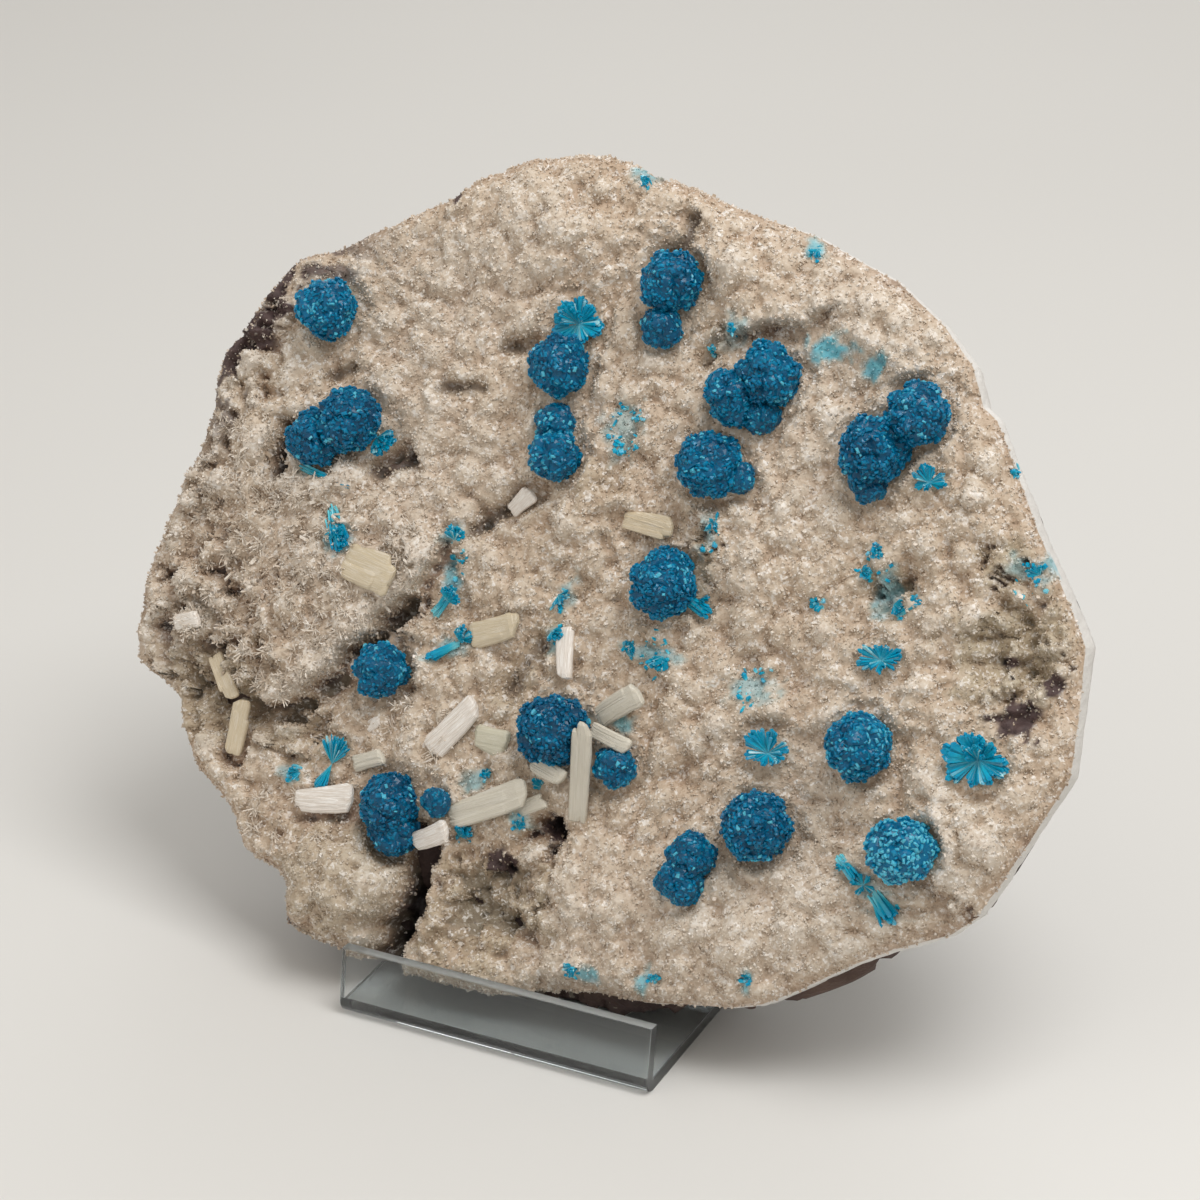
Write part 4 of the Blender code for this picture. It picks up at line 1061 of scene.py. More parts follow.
def crust_piece():
    """The crust: a height over the disc grid, then rings down its wall,
    turned in below and closed at one point inside the stone. Gives its
    points, the faces that crystals grow on, and its marks."""
    theta, share, quads, border = disc_grid(CRUST_CELLS)
    rim = outline_radius(theta)
    edge = (1 - share) * rim
    right = 1.4 * np.clip(np.cos(theta - 0.3), 0, 1) * np.clip(1 - edge / 12, 0, 1)
    u = share * rim * np.cos(theta)
    v = share * rim * np.sin(theta)
    h, rock, stain = crust_heights(u, v, edge)
    size = CRUST_CELLS + 1
    flat = h.reshape(size, size)
    # Painted shade: darker where the crust lies below its surroundings, lighter on the lumps.
    hollow = 0.64 + 0.22 * (flat - blur(flat, 3)) + 0.07 * (flat - blur(flat, 14))
    hollow = hollow.ravel()
    # Painted shade: these patches darken the relief shade; a negative depth lightens it.
    for cu, cv, reach, shade_depth in SHADE_PATCHES:
        hollow = hollow - shade_depth * np.exp(-((u - cu) ** 2 + (v - cv) ** 2) / reach ** 2)
    hollow = np.clip(hollow, 0, 1)
    u, v = u - right * np.cos(theta), v - right * np.sin(theta)
    rows = [np.stack([u, v, h], 1)]
    marks = [(hollow, rock, stain, 0 * h, mist(u, v))]
    faces = [quads]
    last, count = border, len(h)
    t, top = theta[border], h[border]
    inset, height = wall_rings(t, top)
    sawn = smooth(-0.1, 0.35, np.cos(t)) * smooth(-0.99, -0.9, np.sin(t))
    arc = t * 65
    levels = [0.2, 0.45, 0.7, 1.0, 1.3, 1.6, 1.9, 2.2, 2.3]
    for level in levels:
        down = between(height, level)
        wobble = 0.5 * grain(arc, down, 1.3, 31) + 0.5 * crystal_faces(arc, down, 1.6, 32)
        wobble = wobble * (1 - 0.85 * sawn) * smooth(0.0, 0.7, level) * (level < 2.2)
        radius = outline_radius(t) - between(inset, level) - 2.6 * (level == 2.3) + wobble
        rows.append(np.stack([radius * np.cos(t), radius * np.sin(t), down], 1))
        # The rim's stain and painted shade run down the wall, browner further down.
        edge_stain = np.clip(stain[border] + 0.3 * smooth(0.6, 2.2, level) * (1 - sawn), 0, 1)
        # On the wall the painted shade is darker further down and where the wall dips in.
        marks.append((
            0.6 - 0.08 * level + 0.3 * wobble, rock[border], edge_stain, sawn,
            mist(u[border], v[border]) * (level < 1)))
        ring = count + np.arange(len(border))
        faces.append(ring_faces(last, ring))
        last, count = ring, count + len(border)
    skin = np.concatenate(faces[:-2])
    rows.append(np.array([[0.0, 0.0, -7.0]]))
    marks.append(tuple(np.zeros(1) for _ in range(5)))
    faces.append(np.stack([np.roll(last, -1), last, np.full(len(last), count)], 1))
    points = keep_off_seat(np.concatenate(rows))
    hollow, rock, stain, sawn, blue = (np.concatenate(m) for m in zip(*marks))
    make_piece(
        "stilbite_crust", to_world(points), faces, CRUST, "crusted_basalt", ("matrix",),
        hollow=hollow, rock=rock, stain=stain, sawn=sawn, blue=blue)
    return points, skin, hollow, rock, stain, sawn, blue


def keep_off_seat(points):
    """Lift the plate's lowest points clear of the stand's seat."""
    u, v, h = points[:, 0], points[:, 1], points[:, 2]
    lowest = (SHEET + GAP - FACE_FOOT[1] - h * SIN) / COS - FACE_V
    lowest = lowest + 0.9 * np.maximum(0, -21 - h)
    return np.stack([u, np.maximum(v, lowest), h], 1)


def basalt_piece():
    """The stone under the crust: rings down its broken side and a grid over
    its back, moved in and out by fracture faces and grain."""
    theta, share, quads, border = disc_grid(BACK_CELLS)
    t = theta[border]
    rim = outline_radius(t)
    edge = np.zeros(len(t))
    top = relief(rim * np.cos(t), rim * np.sin(t), edge)
    inset, height = wall_rings(t, top)
    arc = t * 62
    rows, faces, last, count = [], [], None, 0
    levels = [1.75, 2.0, 2.2, 2.45, 2.7, 2.95, 3.2, 3.45, 3.7, 3.95, 4.2, 4.45, 4.7, 4.9]
    closed = np.exp(-((np.abs(t) - math.pi) / 0.05) ** 2)
    for level in levels:
        down = between(height, level)
        chips = facets(arc, down, 8.0, 41) * (1 - closed) + 1.5 * crystal_faces(arc, down, 3.4, 46)
        chips = chips + 0.4 * grain(arc, down, 2.2, 42)
        chips = np.clip(chips, -2.2, 0.5) * smooth(1.7, 2.4, level)
        cut = between(inset, level) + (0.3 if level < 2.1 else 0.0)
        radius = rim - cut + chips
        rows.append(np.stack([radius * np.cos(t), radius * np.sin(t), down], 1))
        ring = count + np.arange(len(border))
        if last is not None:
            faces.append(ring_faces(last, ring))
        last, count = ring, count + len(border)
    grid_inset = wall_rings(theta, 0 * theta)[0][5]
    radius = share * (outline_radius(theta) - grid_inset)
    u, v = radius * np.cos(theta), radius * np.sin(theta)
    chips = 1.2 * facets(u, v, 15.0, 43) + 1.4 * crystal_faces(u, v, 5.5, 44) + 0.4 * grain(u, v, 1.8, 45)
    chips = chips + 0.9 * crystal_faces(u, v, 2.6, 47)
    bumps = back_bumps(theta, radius)
    clear = (np.abs(u + FACE_U) < STAND_WIDTH / 2 + 9) & (v < 27)
    chips = np.clip(1.2 + chips, 0, 3.5) * np.where(clear, 0.35, 1.0)
    h = -THICKNESS + bumps + chips * smooth(1.0, 0.94, share)
    h = np.where(clear, np.maximum(h, -THICKNESS), h)
    rows.append(np.stack([u, v, h], 1))
    faces.append(ring_faces(last, count + border))
    faces.append(quads[:, ::-1] + count)
    count += len(u)
    rows.append(np.array([[0.0, 0.0, -8.0]]))
    first = np.arange(len(border))
    faces.append(np.stack([first, np.roll(first, -1), np.full(len(first), count)], 1))
    points = keep_off_seat(np.concatenate(rows))
    make_piece("basalt", to_world(points), faces, BASALT, "crusted_basalt", ("matrix",))


# A small crystal: four foot corners, four shoulders and a tip
PRISM_POINTS = np.array([
    (-1, -1, 0), (1, -1, 0), (1, 1, 0), (-1, 1, 0),
    (-1, -1, 0.7), (1, -1, 0.7), (1, 1, 0.7), (-1, 1, 0.7), (0, 0, 1)], float)
PRISM_FACES = np.array([
    (0, 2, 1), (0, 3, 2),
    (0, 1, 5), (0, 5, 4), (1, 2, 6), (1, 6, 5), (2, 3, 7), (2, 7, 6),
    (3, 0, 4), (3, 4, 7), (4, 5, 8), (5, 6, 8), (6, 7, 8), (7, 4, 8)])

# A lath: a three-sided needle, its end cut aslant
LATH_POINTS = np.array([
    (0, 1, 0), (-0.87, -0.5, 0), (0.87, -0.5, 0),
    (0, 0.7, 0.82), (-0.6, -0.35, 0.92), (0.6, -0.35, 1)], float)
LATH_FACES = np.array([
    (0, 2, 1), (3, 4, 5), (0, 1, 4), (0, 4, 3), (1, 2, 5), (1, 5, 4), (2, 0, 3), (2, 3, 5)])


def unit(rows):
    """Rows of vectors, each made one long."""
    return rows / np.maximum(np.linalg.norm(rows, axis=-1, keepdims=True), 1e-12)


def prisms(foot, axis, length, wide, thick, spin, taper=0.85, shoulder=0.7,
           shape=(PRISM_POINTS, PRISM_FACES), level=False):
    """Many small crystals at once: the same shape, stood on each foot along
    each axis, turned by spin, with its own length, width and thickness, its
    foot narrowed by taper. Level ones are turned from lying flat. Gives
    points, faces and the share along each."""
    count = len(foot)
    axis = unit(axis)
    other = np.where(np.abs(axis[:, :1]) < 0.8, [[1.0, 0, 0]], [[0, 1.0, 0]])
    if level:
        other = np.array([[0.0, 0.0, 1.0]])
    a = unit(np.cross(axis, other))
    b = np.cross(axis, a)
    side = a * np.cos(spin)[:, None] + b * np.sin(spin)[:, None]
    over = np.cross(axis, side)
    x, y, z = shape[0].T
    z = np.where(z == 0.7, shoulder, z)
    narrow = np.where(z == 0, taper, 1.0)
    points = (
        foot[:, None, :]
        + side[:, None, :] * (wide[:, None] * x * narrow)[:, :, None]
        + over[:, None, :] * (thick[:, None] * y * narrow)[:, :, None]
        + axis[:, None, :] * (length[:, None] * z)[:, :, None])
    faces = shape[1][None] + (np.arange(count) * len(x))[:, None, None]
    grow = np.broadcast_to(z, (count, len(z)))
    return points.reshape(-1, 3), faces.reshape(-1, 3), grow.ravel()


def sugar_pieces(points, quads, hollow, rock, stain, sawn, blue):
    """The crust's small crystals: laths with their feet thrown over the
    grid's faces by area and axes near the face's normal, longer at the left."""
    rng = np.random.default_rng(17)
    corner = points[quads]
    normal = np.cross(corner[:, 2] - corner[:, 0], corner[:, 3] - corner[:, 1])
    area = np.linalg.norm(normal, axis=1)
    normal = normal / area[:, None]
    face_rock = rock[quads].mean(1)
    open_part = 0.12 + 0.88 * smooth(0.05, 0.4, hollow[quads].mean(1))
    chance = area * (1 - 0.6 * face_rock) * (1 - sawn[quads].mean(1)) * open_part
    pieces, each = 3, 19000
    pick = rng.choice(len(quads), pieces * each, p=chance / chance.sum())
    s, t = rng.random((2, len(pick), 1))
    c = corner[pick]
    foot = (c[:, 0] * (1 - s) + c[:, 1] * s) * (1 - t) + (c[:, 3] * (1 - s) + c[:, 2] * s) * t
    axis = unit(normal[pick] + rng.normal(0, 0.45, (len(pick), 3)))
    lath = smooth(28, 4, np.hypot((foot[:, 0] + 50) / 1.3, foot[:, 1] + 4))
    scale = np.exp(rng.normal(0, 0.3, len(pick)))
    length = np.clip(scale * (0.24 + 0.8 * lath * rng.random(len(pick)) ** 3), 0.13, 1.5)
    wide = np.clip(0.22 * scale * rng.uniform(0.7, 1.3, len(pick)), 0.12, 0.42)
    # The tint sets the painted glints: a few crystals near white.
    tint = rng.random(len(pick)) ** 6
    # Half the crystals take most of the dark colour of the rock and of the painted shade beneath them.
    rock_and_shade_share = 0.8 * (rng.random(len(pick)) < 0.5)
    level, rock_and_shade_under, ochre_and_shade, tinted = (m[quads].mean(1)[pick] for m in (hollow, rock, stain, blue))
    level = level + rng.normal(0.02, 0.07, len(pick))
    for k in range(pieces):
        part = slice(k * each, (k + 1) * each)
        at, faces, grow = prisms(
            foot[part] - 0.2 * axis[part], axis[part], length[part] + 0.2, wide[part],
            0.7 * wide[part], rng.uniform(0, 6.28, each), shape=(LATH_POINTS, LATH_FACES))
        marks = {"hollow": level, "rock": rock_and_shade_under * rock_and_shade_share, "stain": 0.7 * ochre_and_shade, "blue": tinted, "tint": tint}
        make_piece(
            "stilbite_sugar_%d" % (k + 1), to_world(at), [faces], SUGAR, "crusted_basalt",
            shade=k < 1, grow=grow, **{key: np.repeat(m[part], len(LATH_POINTS)) for key, m in marks.items()})


def nearest(u, v, points):
    """The number of the crust's grid point nearest to each asked point."""
    grid = points[:CRUST_GRID]
    return np.array([((grid[:, 0] - a) ** 2 + (grid[:, 1] - b) ** 2).argmin() for a, b in zip(u, v)])


def star_piece(points, hollow):
    """Stars of longer pale needles on the left of the crust: a dozen laths
    from each foot, leaning out at random round the surface's normal."""
    rng = np.random.default_rng(37)
    feet = []
    for cu, cv, ru, rv, count in STARS:
        a, d = rng.uniform(0, 6.28, count), np.sqrt(rng.random(count))
        feet.append(np.stack([cu + ru * d * np.cos(a), cv + rv * d * np.sin(a)], 1))
    feet = np.vstack(feet)
    near = nearest(feet[:, 0], feet[:, 1], points)
    near = near[hollow[near] > 0.42]
    feet = points[near] + [0, 0, 0.1]
    each = 13
    foot = np.repeat(feet, each, axis=0)
    foot = foot + rng.normal(0, 0.28, foot.shape) * [1, 1, 0.4]
    axis = unit(rng.normal(0, 1, foot.shape) * [1, 1, 0.5] + [0, 0, 0.55])
    size = np.repeat(rng.uniform(0.8, 1.9, len(feet)), each) * rng.uniform(0.6, 1.1, len(foot))
    wide = rng.uniform(0.1, 0.19, len(foot))
    at, faces, grow = prisms(
        foot, axis, size, wide, 0.7 * wide, rng.uniform(0, 6.28, len(foot)),
        shape=(LATH_POINTS, LATH_FACES))
    plain = np.zeros(len(at))
    # Their tint sets the sugar's painted glints.
    make_piece(
        "stilbite_needles", to_world(at), [faces], SUGAR, "crusted_basalt", shade=False,
        grow=grow, hollow=plain + 0.75, rock=plain, stain=plain, blue=plain,
        tint=np.repeat(rng.random(len(foot)), len(LATH_POINTS)))


def sphere_rows(count, rng, jitter):
    """Even directions over a ball, spiralled from pole to pole and jittered."""
    k = np.arange(count) + 0.5
    z = 1 - 2 * k / count
    a = math.pi * (1 + 5 ** 0.5) * k
    flat = np.sqrt(1 - z * z)
    rows = np.stack([flat * np.cos(a), flat * np.sin(a), z], 1)
    return unit(rows + rng.normal(0, jitter / math.sqrt(count), rows.shape))


def ball_reach(rows, knobs, bulges, radius):
    """A ball's surface: its radius, three or four wide bulges, and a dome
    over the nearest knob."""
    turned = rows @ knobs.T
    owner = turned.argmax(1)
    angle = np.arccos(np.clip(turned.max(1), -1, 1))
    dome = np.sqrt(np.clip(1 - (angle * radius / 1.7) ** 2, 0, 1))
    wide = np.exp(8 * (rows @ bulges.T - 1)).sum(1)
    rise = 0.3 + 0.7 * np.abs(np.sin(7.3 * np.arange(len(knobs))))[owner]
    return radius * (0.76 + 0.10 * np.clip(wide, 0, 1.2)) + 1.15 * rise * dome * min(1, radius / 4)


def ball_lobe(centre, radius, rng, tone=0.0):
    """A ball of cavansite: a core, and prisms that radiate from it, leaning
    out from the middle of the knob they belong to."""
    knobs = sphere_rows(max(14, int(2.6 * radius ** 2)), rng, 1.6)
    bulges = unit(rng.normal(0, 1, (9, 3)))
    lat, lon = 24, 34
    a, b = np.meshgrid(
        np.linspace(0, 2 * math.pi, lon, endpoint=False), np.linspace(0, math.pi, lat + 1)[1:-1])
    rows = np.stack([np.sin(b) * np.cos(a), np.sin(b) * np.sin(a), np.cos(b)], -1).reshape(-1, 3)
    rows = np.vstack([rows, [[0, 0, 1], [0, 0, -1]]])
    core = rows * (0.94 * ball_reach(rows, knobs, bulges, radius))[:, None]
    number = np.arange((lat - 1) * lon).reshape(lat - 1, lon)
    bands = [ring_faces(number[k], number[k + 1]) for k in range(lat - 2)]
    north, south = (lat - 1) * lon, (lat - 1) * lon + 1
    caps = [
        np.stack([number[0], np.roll(number[0], -1), np.full(lon, north)], 1),
        np.stack([np.roll(number[-1], -1), number[-1], np.full(lon, south)], 1)]
    bands = np.concatenate(bands)
    bands = np.concatenate([bands[:, [0, 1, 2]], bands[:, [0, 2, 3]]])
    core_faces = np.concatenate([bands] + caps)
    rows = sphere_rows(int(22 * radius ** 2), rng, 0.9)
    rows = rows[rows[:, 2] > -0.62]
    owner = knobs[(rows @ knobs.T).argmax(1)]
    reach = ball_reach(rows, knobs, bulges, radius) * rng.uniform(0.97, 1.03, len(rows))
    axis = unit(rows + 1.3 * (rows - owner) + rng.normal(0, 0.12, rows.shape))
    length = rng.uniform(0.85, 1.3, len(rows))
    wide = rng.uniform(0.22, 0.44, len(rows))
    at, faces, grow = prisms(
        rows * reach[:, None] - axis * length[:, None], axis, length, wide,
        wide * rng.uniform(0.4, 0.8, len(rows)), rng.uniform(0, 6.28, len(rows)), 0.7, 0.8)
    # Painted highlights: a few tips get a tint that paints them pale.
    painted_highlight = 3.0 * (rng.random(len(rows)) < 0.05)
    tint = np.repeat(rng.random(len(rows)) + tone + painted_highlight, len(PRISM_POINTS))
    points = np.vstack([core, at]) + centre
    faces = np.vstack([core_faces, faces + len(core)])
    grow = np.concatenate([np.full(len(core), 0.1), grow])
    tint = np.concatenate([np.full(len(core), 0.3 + tone), tint])
    return points, faces, grow, tint, np.zeros(len(points))


def spray_lobe(centre, radius, kind, rng, facing):
    """A spray: wedge-shaped petals round one point, each of blades side by
    side, the middle ones longest, in a low ring and a steeper, shorter one.
    A fan has its petals to one side, a bow to two opposite sides."""
    flower = radius > 4.3
    petals, each, spread = (13, 26, 0.40) if flower else (9, 17, 0.34)
    if radius < 2.7:
        petals, each = 6, 11
    k = np.arange(petals)
    turn = 2 * math.pi * (k + rng.uniform(-0.3, 0.3, petals)) / petals * (2 if flower else 1)
    rise = np.where(k > 0.62 * petals, rng.uniform(32, 66, petals), rng.uniform(4, 26, petals))
    if flower:
        turn = 2 * math.pi * k / (0.62 * petals) + rng.uniform(-0.15, 0.15, petals)
    spread = np.full(petals, spread)
    if kind == "fan":
        turn = facing + np.linspace(-0.8, 0.8, petals)
        rise = rng.uniform(4, 50, petals)
    if kind == "bow":
        turn = 1.35 + rng.normal(0, 0.12, petals) + math.pi * (k % 2)
        rise = rng.uniform(2, 24, petals)
        spread = np.where(k % 2, 0.2, 0.5)
    rise = np.radians(rise)
    share = rng.uniform(0.7, 1.04, petals) * (1 - 0.3 * smooth(0.4, 1.1, rise))
    if kind == "bow":
        share = rng.uniform(0.95, 1.12, petals)
    own = np.repeat(k, each)
    off = rng.uniform(-1, 1, len(own))
    a = turn[own] + spread[own] * off
    e = rise[own] + rng.normal(0, 0.06, len(own))
    axis = np.stack([np.cos(a) * np.cos(e), np.sin(a) * np.cos(e), np.sin(e)], 1)
    length = radius * share[own] * (1 - 0.2 * off ** 2) * rng.uniform(0.8, 1.05, len(own))
    slim = 0.036 if kind == "bow" else 0.07
    wide = np.clip(slim * length * rng.uniform(0.6, 1.3, len(own)), 0.09, 0.42)
    foot = np.zeros((len(own), 3)) + centre + [0, 0, 0.1]
    at, faces, grow = prisms(
        foot, axis, length, wide, wide * 0.5, rng.normal(0, 0.5, len(own)), 0.15, 0.93, level=True)
    # Painted highlights: a share of blades get a tint that paints them pale.
    painted_highlight = 1.0 * (rng.random(len(own)) < (0.35 if kind == "bow" else 0.2))
    tint = np.repeat(rng.random(len(own)) + painted_highlight, len(PRISM_POINTS))
    return at, faces, grow, tint, np.ones(len(at))


def bundle(start, end, width, count, rng):
    """Thin blades side by side from one point to another, spread at the end."""
    start, end = np.array(start, float), np.array(end, float)
    run = end - start
    foot = start + rng.normal(0, 0.25 * width, (count, 3)) * [1, 1, 0.4]
    size = np.linalg.norm(run)
    axis = unit(run / size + rng.normal(0, 0.3 * width / size, (count, 3)) * [1, 1, 0.5])
    wide = np.full(count, 0.2 * width)
    at, faces, grow = prisms(
        foot, axis, size * rng.uniform(0.75, 1.0, count), wide, wide * 0.6,
        rng.uniform(0, 6.28, count), 0.6, 0.93)
    # Tints above one are painted highlights: pale blades.
    tint = np.repeat(rng.random(count) * 1.4, len(PRISM_POINTS))
    return at, faces, grow, tint, np.ones(len(at))


def joined(parts):
    """Several point, face and value sets as one."""
    start, points, faces, values = 0, [], [], []
    for at, tris, *rest in parts:
        points.append(at)
        faces.append(tris + start)
        values.append(rest)
        start += len(at)
    return np.vstack(points), np.vstack(faces), [np.concatenate(v) for v in zip(*values)]


def cavansite_pieces():
    """Each growth on the place of its solid, one piece each."""
    rng = np.random.default_rng(23)
    for i, growth in enumerate(CAVANSITE):
        name = "cavansite_%02d" % (i + 1)
        solid = node_points(name)
        parts = []
        for cu, cv, radius, kind in growth:
            near = np.hypot(solid[:, 0] - cu, solid[:, 1] - cv) < 1.02 * radius
            base = solid[near, 2].min()
            if kind == "ball":
                parts.append(ball_lobe(
                    np.array([cu, cv, base + 0.42 * radius]), radius, rng, TONES.get(i + 1, 0.0)))
            else:
                facing = OTHER_FAN_TURNS.get(i + 1, FAN_TURN)
                parts.append(spray_lobe(np.array([cu, cv, base - 0.2]), radius, kind, rng, facing))
        at, faces, (grow, tint, spray) = joined(parts)
        make_piece(
            "%s_growth" % name, to_world(at), [faces], CAVANSITE_LOOK, "cavansite", (name,),
            shade=False, grow=grow, tint=tint, open=spray)


def crust_height_at(u, v, points):
    """The crust's height nearest to each asked point, read off its grid."""
    return points[nearest(u, v, points), 2]


def tuft_piece(points):
    """Small tufts of cavansite on the crust: a short fan each, with loose
    fragments round it; needle bundles, and single specks."""
    rng = np.random.default_rng(29)
    parts = []
    for cu, cv, radius in TUFTS:
        h = crust_height_at([cu], [cv], points)[0]
        turn = rng.uniform(0, 6.28)
        foot = np.array([cu - 0.5 * radius * math.cos(turn), cv - 0.5 * radius * math.sin(turn), h - 0.2])
        parts.append(spray_lobe(foot, 1.25 * radius, "fan", rng, turn))
    for au, av, bu, bv, rise, width in STREAKS:
        foot, top = crust_height_at([au, bu], [av, bv], points)
        parts.append(bundle((au, av, foot + 0.3), (bu, bv, top + rise), width, 16, rng))
    specks = SPECKS + [(cu, cv, 0.9 * radius, 9, False) for cu, cv, radius in TUFTS]
    for cu, cv, reach, count, ringed in specks:
        a, d = rng.uniform(0, 6.28, count), reach * np.sqrt(rng.random(count))
        if ringed:
            d = reach * rng.uniform(0.55, 1.05, count)
        u, v = cu + 0.75 * d * np.cos(a), cv + d * np.sin(a)
        h = crust_height_at(u, v, points)
        foot = np.stack([u, v, h - 0.1], 1)
        axis = unit(rng.normal(0, 0.8, (count, 3)) + [0, 0, 0.8])
        wide = rng.uniform(0.12, 0.36, count)
        at, faces, grow = prisms(
            foot, axis, rng.uniform(0.5, 1.3, count), wide, wide * 0.7, rng.uniform(0, 6.28, count))
        # Tints above one are painted highlights: pale specks.
        tint = np.repeat(rng.random(count) * 1.6, len(PRISM_POINTS))
        parts.append((at, faces, grow, tint, np.ones(len(at))))
    at, faces, (grow, tint, spray) = joined(parts)
    make_piece(
        "cavansite_tufts", to_world(at), [faces], CAVANSITE_LOOK, "cavansite", shade=False,
        grow=grow, tint=tint, open=spray)


def blade_shape(size, width, thick, rib, rng):
    """One tabular crystal: a flattened round section, finely ribbed, carried
    along its length and drawn in at both blunt ends."""
    run = np.array([0.0, 0.02, 0.1, 0.3, 0.5, 0.7, 0.9, 0.98, 1.0])
    across = np.array([0.3, 0.62, 1.0, 1.0, 1.0, 1.0, 1.0, 0.62, 0.3])
    taper = 1 - rng.uniform(0.08, 0.3) * np.abs(run - rng.integers(0, 2)) ** 1.6
    across = across * taper * width / 2 * (1 + rng.normal(0, 0.02, len(run)))
    deep = np.array([0.45, 0.8, 1.0, 1.0, 1.0, 1.0, 1.0, 0.8, 0.45]) * thick / 2
    sides = 30
    a = 2 * math.pi * (np.arange(sides) + rng.uniform(-0.35, 0.35, sides)) / sides
    y = np.sign(np.cos(a)) * np.abs(np.cos(a)) ** 0.7
    z = np.sign(np.sin(a)) * np.abs(np.sin(a)) ** 0.7
    z = z * (1 + rng.normal(0, rib, sides))
    skew = rng.uniform(-0.1, 0.1) * width
    lop = rng.choice([-0.22, 0.22]) * width
    points = np.stack([
        np.repeat(run * size, sides),
        (across[:, None] * y + (skew * run + lop * np.abs(2 * run - 1) ** 9)[:, None]).ravel(),
        (deep[:, None] * z).ravel() + thick / 2], 1)
    number = np.arange(len(run) * sides).reshape(len(run), sides)
    quads = np.concatenate([ring_faces(number[k + 1], number[k]) for k in range(len(run) - 1)])
    tris = np.concatenate([quads[:, [0, 1, 2]], quads[:, [0, 2, 3]]])
    caps = [np.stack([np.full(sides - 2, n[0]), n[1:-1], n[2:]], 1)[:, ::s]
            for n, s in ((number[0], -1), (number[-1], 1))]
    return points, np.vstack([tris] + caps)


def blade_piece(name, blade, low, stands_for=()):
    """A sheaf of two or three tabular crystals side by side, at the place,
    turn and slope of its solid."""
    au, av, bu, bv, width, rise, look = blade
    rng = np.random.default_rng(int(1000 + abs(au) * 10 + abs(av)))
    size, turn = math.hypot(bu - au, bv - av), math.atan2(bv - av, bu - au)
    thick = min(1.6, 0.5 * width)
    parts = []
    rib = {"white": 0.05, "cream": 0.05, "clear": 0.04}.get(look, 0.02)
    bodies = [(1.0, 1.0, 0.0), (0.5, rng.uniform(0.8, 0.93), 0.25), (0.46, rng.uniform(0.7, 0.9), -0.26)]
    if look == "white":
        bodies = [(1.0, 1.0, 0.0), (0.66, rng.uniform(0.82, 0.93), 0.12)]
    if look in ("honey", "green"):
        bodies = [(1.0, 0.94, 0.0), (0.8, 1.0, 0.06), (0.5, 0.72, -0.2)]
    for share, reach, off in bodies:
        w = width * share
        reach = size * reach
        at, tris = blade_shape(reach, w, thick * rng.uniform(0.7, 0.95), rib, rng)
        off = off * width
        lean = rng.uniform(-0.05, 0.05) * (3 if look in ("honey", "green") else 1)
        at = np.stack([
            at[:, 0] * math.cos(lean) - at[:, 1] * math.sin(lean),
            at[:, 0] * math.sin(lean) + at[:, 1] * math.cos(lean) + off,
            at[:, 2] + (rng.uniform(0.0, 0.2) if off else 0.1) * thick], 1)
        parts.append((at, tris, at[:, 0] / size, at[:, 1] / width + 0.3 * at[:, 2] / thick))
    at, tris, (grow, across) = joined(parts)
    tilt = math.asin(min(0.9, rise / size))
    x, y, z = at.T
    x, z = x * math.cos(tilt) - z * math.sin(tilt), x * math.sin(tilt) + z * math.cos(tilt)
    u = au + x * math.cos(turn) - y * math.sin(turn)
    v = av + x * math.sin(turn) + y * math.cos(turn)
    points = np.stack([u, v, z - z.min() + low - 0.9 + LIFT.get(name, 0.0)], 1)
    make_piece(
        name, to_world(points), [tris], BLADE_LOOKS[look], "stilbite", stands_for, shade=False,
        grow=grow, across=across)


def blade_pieces(points):
    """The fifteen large blades on their solids, and the smaller ones."""
    for i, blade in enumerate(BLADES):
        name = "stilbite_%02d" % (i + 1)
        au, av, bu, bv = blade[:4]
        share = np.array([0.3, 0.5, 0.7]) if name == "stilbite_10" else np.array([0.5])
        ground = crust_height_at(au + share * (bu - au), av + share * (bv - av), points)
        low = max(node_points(name)[:, 2].min(), ground.max() + 0.2)
        blade_piece("%s_blade" % name, blade, low, (name,))
    for i, blade in enumerate(SMALL_BLADES):
        mid = [(blade[0] + blade[2]) / 2], [(blade[1] + blade[3]) / 2]
        low = crust_height_at(*mid, points)[0]
        blade_piece("stilbite_small_blade_%d" % (i + 1), blade, low)


def line_cross(p, d, q, e):
    """Where two lines of the (y, z) plane meet."""
    k = ((q[0] - p[0]) * e[1] - (q[1] - p[1]) * e[0]) / (d[0] * e[1] - d[1] * e[0])
    return p[0] + k * d[0], p[1] + k * d[1]


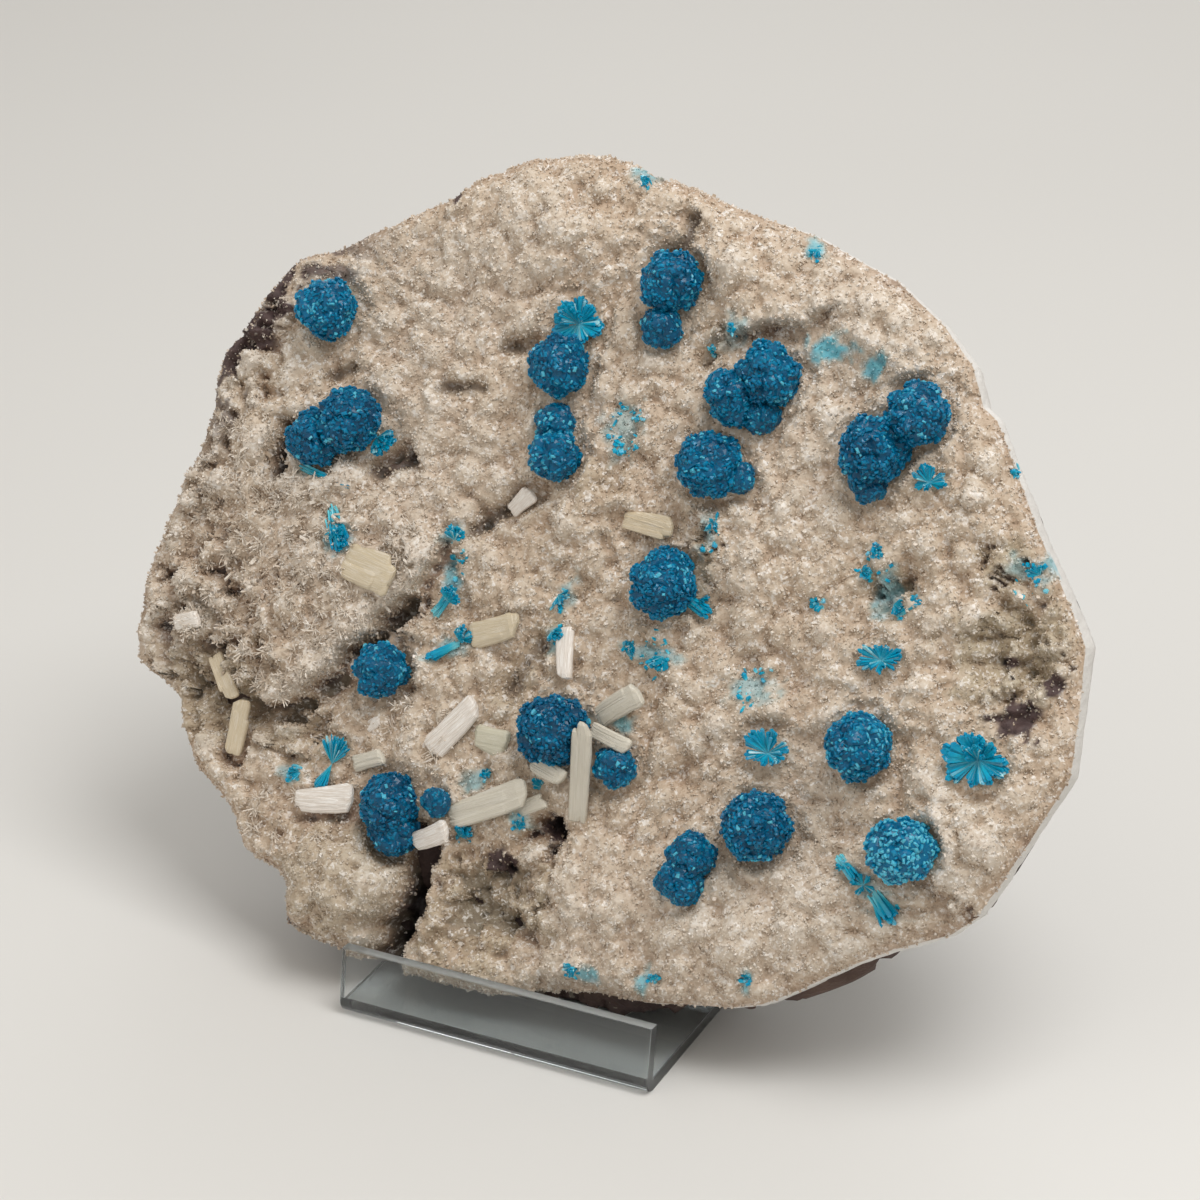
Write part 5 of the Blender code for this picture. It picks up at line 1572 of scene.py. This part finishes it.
def stand_path():
    """The bent sheet's centre line in (y, z), with rounded bends, in mm."""
    half = SHEET / 2
    lip = (math.sin(LIP_LEAN), math.cos(LIP_LEAN))
    lip_foot = (half * lip[1], -half * lip[0])
    lip_top = (lip_foot[0] + lip[0] * LIP_HEIGHT, lip_foot[1] + lip[1] * LIP_HEIGHT)
    back = THICKNESS + GAP + half
    back_foot = (FACE_FOOT[0] + back * COS, FACE_FOOT[1] - back * SIN)
    front = line_cross(lip_foot, lip, (0.0, half), (1.0, 0.0))
    rear = line_cross(back_foot, (SIN, COS), (0.0, half), (1.0, 0.0))
    crown = line_cross(back_foot, (SIN, COS), (0.0, BACKREST_TOP + 4), (1.0, 0.0))
    foot = (FOOT_Y, 0.0)
    corners = [lip_top, front, rear, crown, foot]
    path = [lip_top]
    for a, b, d in zip(corners, corners[1:], corners[2:]):
        one = Vector((a[0] - b[0], a[1] - b[1])).normalized()
        two = Vector((d[0] - b[0], d[1] - b[1])).normalized()
        radius = {front: FRONT_BEND, rear: REAR_BEND, crown: CROWN_BEND}[b]
        open_angle = one.angle(two)
        reach = radius / math.tan(open_angle / 2)
        middle = (one + two).normalized() * radius / math.sin(open_angle / 2)
        first = one * reach - middle
        last = two * reach - middle
        whole = math.atan2(first.x * last.y - first.y * last.x, first.dot(last))
        steps = 14
        for k in range(steps + 1):
            spun = first.copy()
            spun.rotate(Matrix.Rotation(whole * k / steps, 2))
            path.append((b[0] + middle.x + spun.x, b[1] + middle.y + spun.y))
    path.append(foot)
    (y0, z0), (y1, z1) = path[:2]
    path.insert(1, (y0 + 0.05 * (y1 - y0), z0 + 0.05 * (z1 - z0)))
    return np.array(path)


def stand_piece():
    """The stand: a flat section with polished corners, carried along the
    bent centre line, its end on the table cut level."""
    path = stand_path()
    run = np.zeros_like(path)
    run[1:-1] = path[2:] - path[:-2]
    run[0], run[-1] = path[1] - path[0], path[-1] - path[-2]
    run = run / np.linalg.norm(run, axis=1)[:, None]
    side = np.stack([-run[:, 1], run[:, 0]], 1)
    half, wide, soft = SHEET / 2, STAND_WIDTH / 2, 0.18
    x = np.array([-wide, -wide, -wide + soft, wide - soft, wide, wide, wide - soft, -wide + soft])
    n = np.array([-half + soft, half - soft, half, half, half - soft, -half + soft, -half, -half])
    y = path[:, 0][:, None] + side[:, 0][:, None] * n
    z = path[:, 1][:, None] + side[:, 1][:, None] * n
    slide = z[-1] / run[-1, 1]
    y[-1] -= slide * run[-1, 0]
    z[-1] = 0.0
    z = np.maximum(z, 0.0)
    points = np.stack([np.broadcast_to(x, y.shape), y, z], -1).reshape(-1, 3)
    number = np.arange(len(points)).reshape(len(path), 8)
    faces = [ring_faces(number[k + 1], number[k]) for k in range(len(path) - 1)]
    faces = [np.concatenate(faces)]
    caps = [np.stack([np.full(6, r[0]), r[1:7], r[2:8]], 1)[:, ::s]
            for r, s in ((number[0], -1), (number[-1], 1))]
    faces.append(np.concatenate(caps))
    make_piece(
        "clear_stand", points + SHIFT, faces, acrylic_look(), "clear_sheet",
        ("display_stand",), shade=False,
        cut=np.repeat(np.where(np.arange(len(path)) == 0, 1.0, 0.0), 8))


def studio():
    """Pale floor, soft lights and the camera at the portrait's angle."""
    mesh = bpy.data.meshes.new("floor")
    reach = 8.0
    mesh.from_pydata(
        [(-reach, -reach, 0), (reach, -reach, 0), (reach, reach, 0), (-reach, reach, 0)],
        [], [(0, 1, 2, 3)])
    floor = bpy.data.objects.new("floor", mesh)
    mesh.materials.append(floor_look())
    bpy.context.scene.collection.objects.link(floor)
    for name, place, power, size in (
            ("key_light", (0.22, -0.10, 0.62), 2.5, 0.34),
            ("front_light", (-0.45, -0.65, 0.45), 0.8, 0.6),
            ("rear_light", (-0.2, 0.65, 0.5), 1.0, 0.5)):
        lamp = bpy.data.lights.new(name, "AREA")
        lamp.energy, lamp.size = power, size
        made = bpy.data.objects.new(name, lamp)
        made.location = place
        aim = Vector((0, 0, 0.055)) - Vector(place)
        made.rotation_euler = aim.to_track_quat("-Z", "Y").to_euler()
        bpy.context.scene.collection.objects.link(made)
    world = bpy.data.worlds.new("studio")
    world.use_nodes = True
    world.node_tree.nodes["Background"].inputs["Color"].default_value = rgb(232, 229, 224)
    world.node_tree.nodes["Background"].inputs["Strength"].default_value = 0.67
    bpy.context.scene.world = world
    bpy.context.scene.view_settings.view_transform = "Standard"

    back = Vector((
        math.sin(AZIMUTH) * math.cos(ELEVATION), -math.cos(AZIMUTH) * math.cos(ELEVATION),
        math.sin(ELEVATION)))
    right = Vector((math.cos(AZIMUTH), math.sin(AZIMUTH), 0))
    up = back.cross(right)
    across = right * math.cos(ROLL) + up * math.sin(ROLL)
    over = up * math.cos(ROLL) - right * math.sin(ROLL)
    target = Vector(CAMERA_AIM) + Vector(SHIFT)
    place = (target + back * CAMERA_DISTANCE) * MM
    lens = bpy.data.cameras.new("portrait_camera")
    lens.lens, lens.sensor_width, lens.sensor_fit = 18 / math.tan(FIELD / 2), 36, "HORIZONTAL"
    lens.clip_start = 0.01
    camera = bpy.data.objects.new("portrait_camera", lens)
    camera.matrix_world = Matrix((
        (across.x, over.x, back.x, place.x), (across.y, over.y, back.y, place.y),
        (across.z, over.z, back.z, place.z), (0, 0, 0, 1)))
    bpy.context.scene.collection.objects.link(camera)
    bpy.context.scene.camera = camera


studio()
crust_points, crust_quads, *crust_marks = crust_piece()
basalt_piece()
sugar_pieces(crust_points, crust_quads, *crust_marks)
star_piece(crust_points, crust_marks[0])
cavansite_pieces()
tuft_piece(crust_points)
blade_pieces(crust_points)
stand_piece()
